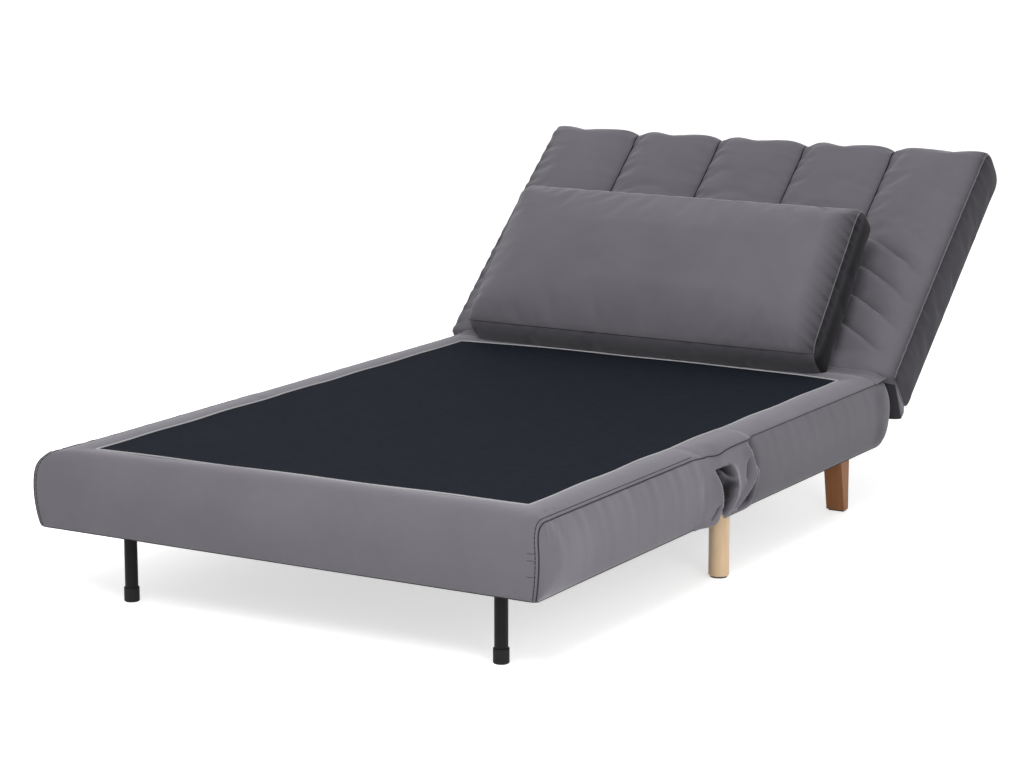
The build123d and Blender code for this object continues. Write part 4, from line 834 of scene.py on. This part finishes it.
def pillow_piece():
    """Boxed pillow: plump front and rear pieces sewn to a strip that runs round the edge."""
    low, high = (PILLOW_LOW_V, 0.0), (PILLOW_HIGH_V, PILLOW_BOX)
    radii = (0.012, 0.022, 0.036, 0.040)
    points, faces, sides, index = box_grid(
        lines(-PILLOW_HALF, PILLOW_HALF, CELL, 0.35),
        lines(low[0], high[0], CELL, 0.35),
        lines(0, high[1], CELL, 0.3),
    )
    x, along, out = points.T
    share_x = x / PILLOW_HALF
    share_v = 2 * (along - low[0]) / (high[0] - low[0]) - 1
    front = out / PILLOW_BOX
    along, out = round_profile(along, out, low, high, radii)
    x, along, out = sew_ends(x, along, out, PILLOW_HALF, low, high, radii, 0.020)[:3]
    crown = np.clip(1 - abs(share_x) ** 5, 0, 1) * np.clip(1 - abs(share_v) ** 2.6, 0, 1)
    out = out + crown * (PILLOW_CROWN * ease(front) - 0.010 * ease(1 - front))
    out = out + 0.014 * (1 - front) * np.clip((share_v + 1) / 2, 0, 1)
    x = x * (1 + 0.012 * (1 - share_v**2) * ease(1 - abs(2 * front - 1))) + PILLOW_SHIFT
    x = x - 0.016 * ease(-share_x) * (1 - share_v) / 2
    places = on_slope(PILLOW_SLOPE, x, along, out)
    piece = mesh_piece("loose_pillow", places, faces, VELVET, SHADE_VELVET, of_face=sides < 2)
    rims = [index[[0, -1]][:, :, [0, -1]].ravel(), index[:, [0, -1]][:, :, [0, -1]].ravel()]
    rims = np.concatenate(rims)
    inflate(piece, rims, pressure=4.0, slack=0.008, most=0.012)
    subdivide(piece, rims)
    x, along, out = from_slope(PILLOW_SLOPE, points_of(piece))
    x = x - PILLOW_SHIFT
    to_side = PILLOW_HALF - abs(x)
    to_low = np.clip(along - low[0], 0, 1)
    on_front = ease((out - 0.06) / 0.03)
    height = 0.0012 * np.exp(-to_side / 0.03) * ripple(along, 0.032, 1.0)
    height += 0.0012 * np.exp(-to_low / 0.03) * ripple(x, 0.041, 2.0)
    shift_along_normals(piece, height * on_front)
    # Painted shade: towards the front's end at positive x, on the end pieces and low down at the bottom
    beside = np.clip(1 - (PILLOW_HALF - x) / 0.058, 0, 1) ** 1.4
    crumple = 1 + 0.25 * ripple(along + 0.6 * x, 0.021, 4.0)
    end_shade = 0.85 * beside * crumple * on_front
    on_end = 0.93 * ease((abs(x) - PILLOW_HALF + 0.010) / 0.006) * (1 - on_front)
    low_shade = (0.34 + 0.2 * ease(x / 0.35)) * ease((0.012 - along) / 0.03)
    low_shade = 0.16 * ease((0.09 - along) / 0.10) + low_shade
    paint_shade(piece, np.maximum(np.maximum(end_shade, on_end), low_shade))
    return piece, index


pillow, pillow_index = pillow_piece()

for cushion, body, replaced, fill in (
    (front_cushion, "front_section", "front_pad", 0.8),
    (base_cushion, "base", "base_pad", 0.8),
    (back_cushion, "backrest", "back_pad", 0.75),
    (pillow, "pillow", "pillow", 0.7),
):
    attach(cushion, body)
    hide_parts(replaced)

# Seams and welts


front_points = points_of(front_cushion)
base_points = points_of(base_cushion)
back_points = points_of(back_cushion)
pillow_points = points_of(pillow)


def over_front(row, start=0, stop=None):
    """Line of points up the front of the front cushion and back over its top."""
    return front_points[np.concatenate([front_index[row, 0, start:], front_index[row, 1:stop, -1]])]


def over_end(points, index, row):
    """Line of points over the top of a cushion and down its far end."""
    return points[np.concatenate([index[row, :, -1], index[row, -1, -2::-1]])]


front_seams = [over_front(end) for end in (0, -1)]
topstitch = [over_front(row, 1, -8) for row in (1, -2)]
base_seams = [over_end(base_points, base_index, end) for end in (0, -1)]
back_welts = [over_end(back_points, back_index, end) for end in (0, -1)]
channel_lines = [over_end(back_points, back_index, column) for column in back_columns]
piping = [pillow_points[pillow_index[end, :, level]] for end in (0, -1) for level in (0, -1)]
front_hems = [front_points[front_index[end, :, 0]] for end in (0, -1)] + [front_points[front_index[:, 0, 0]]]
base_hems = [base_points[base_index[end, :, 0]] for end in (0, -1)]
# Short dark lines painted as shade in the creases at the front corners
crease_shade_lines = [front_points[front_index[-2:-5:-1, 0, level]] for level in (-6, -7, -9)]
for step in (7, 8, 10):
    crease_shade_lines.append(front_points[front_index[[-2, -4], [step, step + 1], -1]])
# Lines in the seam velvet are painted shade along the seams, topstitch rows, bottom hems and creases
sewn_lines("front_section_seams", WELT, front_seams, "front_section", SEAM_SHADE_VELVET, Radius=0.0012)
sewn_lines(
    "front_topstitch", STITCHES, topstitch, "front_section", SEAM_SHADE_VELVET,
    Spacing=0.0075, Length=0.0062, Radius=0.0008,
)
sewn_lines("front_hems", WELT, front_hems, "front_section", SEAM_SHADE_VELVET, Radius=0.0010)
sewn_lines("corner_creases", WELT, crease_shade_lines, "front_section", SEAM_SHADE_VELVET, Radius=0.0004)
sewn_lines("base_seams", WELT, base_seams, "base", SEAM_SHADE_VELVET, Radius=0.0007)
sewn_lines("base_hems", WELT, base_hems, "base", SEAM_SHADE_VELVET, Radius=0.0010)
sewn_lines("back_welts", WELT, back_welts, "backrest", VELVET, Radius=0.0013)
sewn_lines("channel_seams", WELT, channel_lines, "backrest", THREAD, Radius=0.0014)
sewn_lines("pillow_piping", WELT, piping, "pillow", VELVET, Radius=0.0010)
sewn_lines("pillow_seam", WELT, [pillow_points[pillow_index[:, 0, -1]]], "pillow", SEAM_SHADE_VELVET, Radius=0.0007)


# Black cloth panel over both sections


def panel_cloth():
    """One black cloth over both sections, cut a little askew at the front."""
    stretch = [lines(PANEL_LOW.y, FOLD_Y - 0.03, 0.02), lines(FOLD_Y - 0.03, FOLD_Y + 0.03, 0.004)[1:]]
    ys = np.concatenate([*stretch, lines(FOLD_Y + 0.03, PANEL_HIGH.y + PANEL_TAIL, 0.02)[1:]])
    x, y = np.meshgrid(lines(-PANEL_HALF, PANEL_HALF, 0.02), ys, indexing="ij")
    z = PAD_TOP + PANEL_LIFT + 0.0005 * np.sin(x * 23 + y * 9) * np.sin(y * 17)
    askew = PANEL_SKEW * (x / PANEL_HALF + 1) / 2 * np.clip((FOLD_Y - y) / (FOLD_Y - PANEL_LOW.y), 0, 1)
    behind = np.clip((y - FOLD_Y) / (PANEL_HIGH.y + PANEL_TAIL - FOLD_Y), 0, 1)
    bow = (panel_rear(x) - PANEL_HIGH.y - PANEL_TAIL) * behind**2
    x = x + 0.0015 * np.sin(y * 31) * abs(x / PANEL_HALF) ** 6
    places = np.column_stack([x.ravel(), (y + askew + bow).ravel(), z.ravel()])
    return mesh_piece("black_panel", places, grid_faces(x.shape), BLACK_CLOTH), x.shape


panel, panel_shape = panel_cloth()
panel_points = points_of(panel).reshape(*panel_shape, 3)
fold_row = int(np.argmin(abs(panel_points[0, :, 1] - FOLD_Y)))
# Panel hems in the lighter velvet: painted highlight along the edges of the black cloth
for name, body, rows, end in (
    ("front_panel_hem", "front_section", slice(0, fold_row + 1), 0),
    ("base_panel_hem", "base", slice(fold_row, None), -1),
):
    part = panel_points[:, rows]
    edges = [part[0], part[-1], part[:, end]]
    sewn_lines(name, WELT, edges, body, HEM_HIGHLIGHT_VELVET, Radius=0.0017)
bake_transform(panel)
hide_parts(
    "front_panel", "base_panel", "fold_hinge_base_leaves", "fold_hinge_front_leaves", "fold_hinge_pins"
)


# Gathered cloth at the sides of the fold


# Folds of the gathered cloth: heights, and places behind the fold
FRONT_END = (
    (0.123, 0.004), (0.126, 0.024), (0.136, 0.034), (0.154, 0.035),
    (0.170, 0.031), (0.190, 0.022), (0.211, 0.008), (0.241, -0.012),
)
POCKET_RIM = (
    (0.138, 0.060), (0.147, 0.070), (0.160, 0.080), (0.178, 0.081),
    (0.198, 0.073), (0.216, 0.061), (0.227, 0.044),
)
LONG_FOLD = (
    (0.141, 0.090), (0.150, 0.107), (0.161, 0.124), (0.174, 0.140),
    (0.187, 0.147), (0.201, 0.141), (0.221, 0.132), (0.241, 0.124),
)
SHORT_FOLD = ((0.137, 0.148), (0.152, 0.151), (0.167, 0.155), (0.181, 0.160), (0.197, 0.161))
CORNER_TUCK = ((0.130, -0.004), (0.133, 0.000), (0.143, 0.013), (0.158, 0.023))
SLANT_START = (0.043, 0.209)
SLANT_WAY = (0.857, -0.517)
POCKET_DEPTH = 0.025
SLANT_HEIGHT = 0.015
LAST_STEP = 0.012


def across_fold(z, stops):
    """Place across the fold of a bent line, given at some heights."""
    return np.interp(z, [stop[0] for stop in stops], [stop[1] for stop in stops])


def bridge_fold(piece):
    """Bake a piece's place into its own mesh."""
    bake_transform(piece)


def cover_of(piece):
    """Search tree of the faces of a finished piece."""
    return BVHTree.FromPolygons(
        [tuple(point) for point in points_of(piece)], [tuple(face.vertices) for face in piece.data.polygons],
        epsilon=1e-5,
    )


def lay_on(cover, x, y, z, axis, way):
    """Coordinate of a cover, met along an axis from outside, at some places."""
    found = np.empty(x.size)
    aim = [0.0, 0.0, 0.0]
    aim[axis] = -way
    for number, place in enumerate(np.column_stack([x.ravel(), y.ravel(), z.ravel()])):
        place[axis] = way
        found[number] = cover.ray_cast(tuple(place), aim)[0][axis]
    return found.reshape(x.shape)


FRONT_COVER = cover_of(front_cushion)
BASE_COVER = cover_of(base_cushion)


def slack_folds(v, z, hem_z):
    """How far the slack cloth stands out behind the fold at some heights, and its painted shade in the
    pocket, hollow, valley and tucks.
    """
    front, rim = across_fold(z, FRONT_END), across_fold(z, POCKET_RIM)
    long, short = across_fold(z, LONG_FOLD), across_fold(z, SHORT_FOLD)
    last = long + (short - long) * ease((0.216 - z) / 0.032)
    free = ease((z - hem_z - 0.004) / 0.011)

    # Deep pocket, with a slanting fold across it
    pocket = ease((v - front) / 0.005) * ease((rim - v) / 0.010) * ease((0.222 - z) / 0.010) * free
    dim = ease((v - front) / 0.004) * ease((rim - v - 0.001) / 0.004) * ease((0.222 - z) / 0.006) * free
    beside = (v - SLANT_START[0]) * SLANT_WAY[0] + (z - SLANT_START[1]) * SLANT_WAY[1]
    above = -(v - SLANT_START[0]) * SLANT_WAY[1] + (z - SLANT_START[1]) * SLANT_WAY[0]
    slant = crest(-above, 0.004, 0.010) * ease((beside + 0.008) / 0.01) * ease((0.074 - beside) / 0.01)

    # Folds and tucks round the pocket
    valley = crest(v - 0.124, 0.006) * ease((z - 0.170) / 0.02) * ease((0.226 - z) / 0.02)
    hollow = ease((v - long - 0.002) / 0.007) * ease((short - 0.002 - v) / 0.007) * ease((0.174 - z) / 0.018)
    tuck = crest(v - across_fold(z, CORNER_TUCK), 0.004) * ease((z - 0.130) / 0.006)
    tuck = tuck * ease((0.160 - z) / 0.01)
    relief = 0.004 * crest(v - rim, 0.003, 0.012) * ease((0.226 - z) / 0.02) - 0.006 * valley - 0.008 * hollow
    relief = relief + 0.006 * crest(v - long, 0.015, 0.004) * ease((0.247 - z) / 0.02)
    relief = relief + 0.004 * crest(v - short, 0.008, 0.004) * ease((0.200 - z) / 0.02)
    relief = relief + 0.002 * crest(v - front, 0.014, 0.004) * ease((0.222 - z) / 0.02) - 0.003 * tuck

    shift = free * relief - POCKET_DEPTH * pocket + SLANT_HEIGHT * slant * pocket**0.4
    shift = shift - LAST_STEP * ease((v - last - 0.003) / 0.008)
    shade = np.maximum(0.97 * dim * (1 - 0.9 * crest(-above, 0.003, 0.004) * slant), 0.93 * hollow * free)
    return shift, np.maximum(shade, np.maximum(0.35 * valley, 0.6 * tuck))


def gather(name, side, front_seam, base_seam):
    """Velvet that bridges the fold at one side: a border above, slack folds below."""
    ys = lines(FOLD_Y - 0.060, FOLD_Y + GATHER_REACH, 0.0025)
    v = (ys - FOLD_Y)[:, None]
    on_front = ease((0.030 - v) / 0.050)
    on_base = ease((v - 0.130) / 0.040)
    between = 1 - on_front - on_base
    front_y = np.minimum(ys, FOLD_Y - 0.030)[:, None]
    base_y = np.maximum(ys, FOLD_Y + 0.170)[:, None]
    lift = 0.0010 - 0.0022 * ease((-0.015 - v) / 0.045) - 0.0024 * ease((v - 0.115) / 0.040)
    sag = 0.007 * crest(v, 0.035) * (side > 0)
    front_x, front_z = (np.interp(front_y, front_seam[:, 1], front_seam[:, axis]) for axis in (0, 2))
    base_x, base_z = (np.interp(base_y, base_seam[:, 1], base_seam[:, axis]) for axis in (0, 2))
    seam_z = between * (PAD_TOP - 0.008 - sag) + on_front * front_z + on_base * base_z
    seam_x = between * (HALF_WIDTH - 0.004) + abs(on_front * front_x + on_base * base_x) + 0.5 * lift
    hem_z = UNDERSIDE - 0.010 + 0.004 * ease((v - 0.12) / 0.05)
    hem_z = hem_z - 0.0035 * ease((0.03 - v) / 0.02) * ease((v + 0.045) / 0.04)
    hem_z = hem_z + 0.010 * crest(v - 0.036, 0.006)

    # Side below the seam
    z = seam_z + (hem_z - seam_z) * np.linspace(0, 1, 46)[None]
    v = np.broadcast_to(v, z.shape)
    upright = np.clip(1 - ((z - MID_Z) / (MID_Z - UNDERSIDE)) ** 2, 0, 1)
    plain = HALF_WIDTH - SIDE_BULGE + 0.7 * SIDE_BULGE * upright + 0.0035
    level = np.clip(z, UNDERSIDE + 0.004, PAD_TOP - 0.024)
    bend = plain - np.interp(level, z[0, ::-1], plain[0, ::-1])
    beyond = np.broadcast_to(front_y, z.shape), np.broadcast_to(base_y, z.shape)
    on_side = abs(lay_on(FRONT_COVER, level, beyond[0], level, 0, side)) + lift + bend
    behind = abs(lay_on(BASE_COVER, level, beyond[1], level, 0, side)) + lift + bend
    shift, shade = slack_folds(v, z, hem_z)
    x = plain + (on_side - plain) * on_front + shift
    x = x + (behind - x) * on_base * ease((z - PAD_TOP + 0.045) / 0.02)
    x = x + (seam_x - x) * ease(1 - (seam_z - z) / 0.009)

    # Border above the seam
    share = np.linspace(0, 1, 14)[None]
    inside = PANEL_HALF - 0.003
    lid_x = inside + (seam_x - inside) * share
    lid_z = PAD_TOP + 0.0016 + 0.0012 * np.sin(pi * share) - (PAD_TOP + 0.0016 - seam_z) * share**4
    probe = side * np.minimum(lid_x, HALF_WIDTH - SIDE_BULGE - 0.005)
    beyond = np.broadcast_to(front_y, lid_x.shape), np.broadcast_to(base_y, lid_x.shape)
    laid = on_front * lay_on(FRONT_COVER, probe, beyond[0], probe, 2, 1)
    laid = laid + on_base * lay_on(BASE_COVER, probe, beyond[1], probe, 2, 1) + lift * (on_front + on_base)
    lid_z = between * lid_z + laid
    lid_z = lid_z + (seam_z - lid_z) * ease((share - 0.88) / 0.12)
    across = np.concatenate([lid_x, x[:, 1:]], axis=1)
    up = np.concatenate([lid_z, z[:, 1:]], axis=1)
    along = np.broadcast_to(ys[:, None], up.shape)
    faces = grid_faces(up.shape)
    places = np.column_stack([side * across.ravel(), along.ravel(), up.ravel()])
    piece = mesh_piece(name, places, faces[:, ::-1] if side > 0 else faces, VELVET)
    paint_shade(piece, np.concatenate([np.zeros_like(lid_x), shade[:, 1:]], axis=1).ravel())
    bridge_fold(piece)
    return piece, places.reshape(*up.shape, 3)[:, share.size - 1]


gather_seams = []
for name, side, end in (("fold_gather_right", 1, -1), ("fold_gather_left", -1, 0)):
    cushion_seams = front_points[front_index[end, :, -1]], base_points[base_index[end, :, -1]]
    piece, seam = gather(name, side, *cushion_seams)
    gather_seams.append(seam[(seam[:, 1] > FOLD_Y - 0.04) & (seam[:, 1] < FOLD_Y + 0.17)])
    if side > 0:
        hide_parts("fold_gussets")
# Dark welts along the gather seams: painted shade
bridge_fold(sewn_lines("gather_seams", WELT, gather_seams, None, SEAM_SHADE_VELVET, Radius=0.0010))


# Velvet sling between base and backrest


def sling():
    """Velvet cloth from the rear of the base over the joint plates to the foot of the backrest."""
    turns = np.radians(np.linspace(132, 84, 9))
    half = HALF_WIDTH - 0.008
    xs = lines(-half, half, 0.008)
    rows = []
    for x in xs:
        ending = ease((abs(x) - 0.438) / (half - 0.438))
        radius = 0.0148 - 0.011 * ending
        along = 0.014 + 0.042 * ease((half - abs(x)) / 0.13)
        up_back = np.array([0.5 * along + 0.006, along, along + 0.004])
        foot = on_slope(BACK_SLOPE, np.full(3, x), up_back, np.array([1.0, 1.0, 0.3]) * radius)
        rows.append([(x, BASE_HIGH.y - 0.038, PAD_TOP - 0.001 - 0.006 * ending)])
        rows[-1].append((x, BASE_HIGH.y - 0.018, PAD_TOP + 0.004 - 0.008 * ending))
        rows[-1] += [(x, PIVOT_Y + radius * cos(turn), PIVOT_Z + radius * sin(turn)) for turn in turns]
        rows[-1] += [tuple(place) for place in foot]
    places = np.array(rows)
    piece = mesh_piece("rear_sling", places.reshape(-1, 3), grid_faces(places.shape), VELVET)
    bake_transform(piece)


def rear_fan(name, side):
    """Fan of velvet that closes one side of the gap between base and backrest."""
    reach, turn = np.meshgrid(np.linspace(0.06, 1, 18), np.linspace(0, 1, 25), indexing="ij")
    near = radians(-90 + 3)
    far = radians(-90) + BACK_ANGLE + radians(3)
    angle = near + (far - near) * turn
    length = 0.086 * (1 - 0.12 * (2 * turn - 1) ** 2)
    y = PIVOT_Y + 0.010 + reach * length * np.cos(angle)
    z = PIVOT_Z + 0.002 + reach * length * np.sin(angle)
    x = BACK_HALF - 0.003 + 0.005 * np.sin(pi * turn) * np.sqrt(reach) - 0.040 * ease(1 - turn / 0.45)
    x = x + 0.0008 * reach * ripple(turn, 0.4, 2.0)
    faces = grid_faces(x.shape)
    places = np.column_stack([side * x.ravel(), y.ravel(), z.ravel()])
    piece = mesh_piece(name, places, faces if side > 0 else faces[:, ::-1], VELVET)
    # Painted shade, full over the first part of the fan's sweep and fading before its far edge
    paint_shade(piece, (0.9 * ease((0.72 - turn) / 0.3)).ravel())
    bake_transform(piece)


sling()
rear_fan("rear_fan_right", 1)
rear_fan("rear_fan_left", -1)

# Finishes of the parts that keep their own shape
FINISHES = {
    "round_leg_left": BEECH,
    "round_leg_right": BEECH,
    "rear_leg_left": STAINED,
    "rear_leg_right": STAINED,
    "leg_cross_tube": BLACK_STEEL,
    "front_leg_left": BLACK_STEEL,
    "front_leg_right": BLACK_STEEL,
    "leg_caps": RUBBER,
    "leg_glides": PLASTIC,
    "leg_clips": PLASTIC,
    "base_lining": LINING,
    "back_rear_cloth": REAR_CLOTH,
    "rear_gusset": REAR_CLOTH,
    "front_mat": FOAM,
    "base_mat": FOAM,
    "fold_gussets": VELVET,
}
METAL = (
    "leg_plates leg_studs leg_screws fold_hinge_base_leaves fold_hinge_pins base_hinge_screws "
    "recline_base_plates recline_pins base_plate_bolts fold_hinge_front_leaves front_hinge_screws "
    "clip_screws recline_back_arms back_arm_bolts"
).split()
for name, cad in frame["nodes"].items():
    cad.data.materials.clear()
    cad.data.materials.append(FINISHES.get(name, ZINC if name in METAL else TIMBER))


# Floor, lights and camera
FLOOR_GLOW = 0.62
SKY_LIGHT = 0.5
LIT_PLACE = np.array((0, 0, 0.25))


def seen_rays(tree):
    """1 for what the camera, a shine or a clear thing sees, 0 for light that falls on the object."""
    path = node(tree, "ShaderNodeLightPath").outputs
    seen = path["Is Camera Ray"]
    for kind in ("Is Glossy Ray", "Is Transmission Ray"):
        seen = node(tree, "ShaderNodeMath", set_operation="MAXIMUM", _0=seen, _1=path[kind]).outputs[0]
    return seen


def white_floor():
    """White floor that glows a little where it is seen."""
    mesh = bpy.data.meshes.new("floor")
    reach = 30.0
    corners = [(-reach, -reach, 0), (reach, -reach, 0), (reach, reach, 0), (-reach, reach, 0)]
    mesh.from_pydata(corners, [], [(0, 1, 2, 3)])
    floor = bpy.data.objects.new("floor", mesh)
    bpy.context.scene.collection.objects.link(floor)
    material, tree, shader = start_material(
        "white floor", Base_Color=(0.9, 0.9, 0.9, 1), Roughness=0.9, Specular_IOR_Level=0.1,
        Emission_Color=(1, 1, 1, 1),
    )
    tree.links.new(scaled_sum(tree, seen_rays(tree), FLOOR_GLOW, 0.0), shader.inputs["Emission Strength"])
    mesh.materials.append(material)


def white_sky():
    """White background, half as strong in the light that it gives."""
    world = bpy.data.worlds.new("studio")
    bpy.context.scene.world = world
    world.use_nodes = True
    sky = world.node_tree
    background = sky.nodes["Background"].inputs
    background["Color"].default_value = (1, 1, 1, 1)
    sky.links.new(scaled_sum(sky, seen_rays(sky), 1 - SKY_LIGHT, SKY_LIGHT), background["Strength"])


def lamps():
    """Soft light from above the front, and weaker light from the sides and behind."""
    for name, place, size, power in (
        ("key", (1.2, -3.3, 3.8), 2.4, 132),
        ("fill", (-3.4, -1.6, 2.4), 2.4, 8),
        ("side", (2.8, -2.3, 1.4), 1.6, 35),
        ("back", (0.5, 3.2, 3.6), 2.4, 20),
    ):
        lamp = bpy.data.lights.new(name, "AREA")
        lamp.size = size
        lamp.energy = power
        light = bpy.data.objects.new(name, lamp)
        light.location = place
        way = LIT_PLACE - np.array(place)
        tilt = np.arctan2(np.hypot(*way[:2]), -way[2])
        light.rotation_euler = (tilt, 0, np.arctan2(-way[0], way[1]))
        bpy.context.scene.collection.objects.link(light)


def photograph_camera():
    """Camera at the viewing angle of the photograph."""
    data = bpy.data.cameras.new("camera")
    data.sensor_width = 36
    data.lens = 103.03
    camera = bpy.data.objects.new("camera", data)
    camera.location = (2.57717, -4.55414, 1.29425)
    camera.rotation_euler = (radians(90 - 11.117), 0, radians(30.437))
    bpy.context.scene.collection.objects.link(camera)
    bpy.context.scene.camera = camera


white_floor()
white_sky()
lamps()
photograph_camera()
bpy.context.scene.view_settings.view_transform = "Standard"
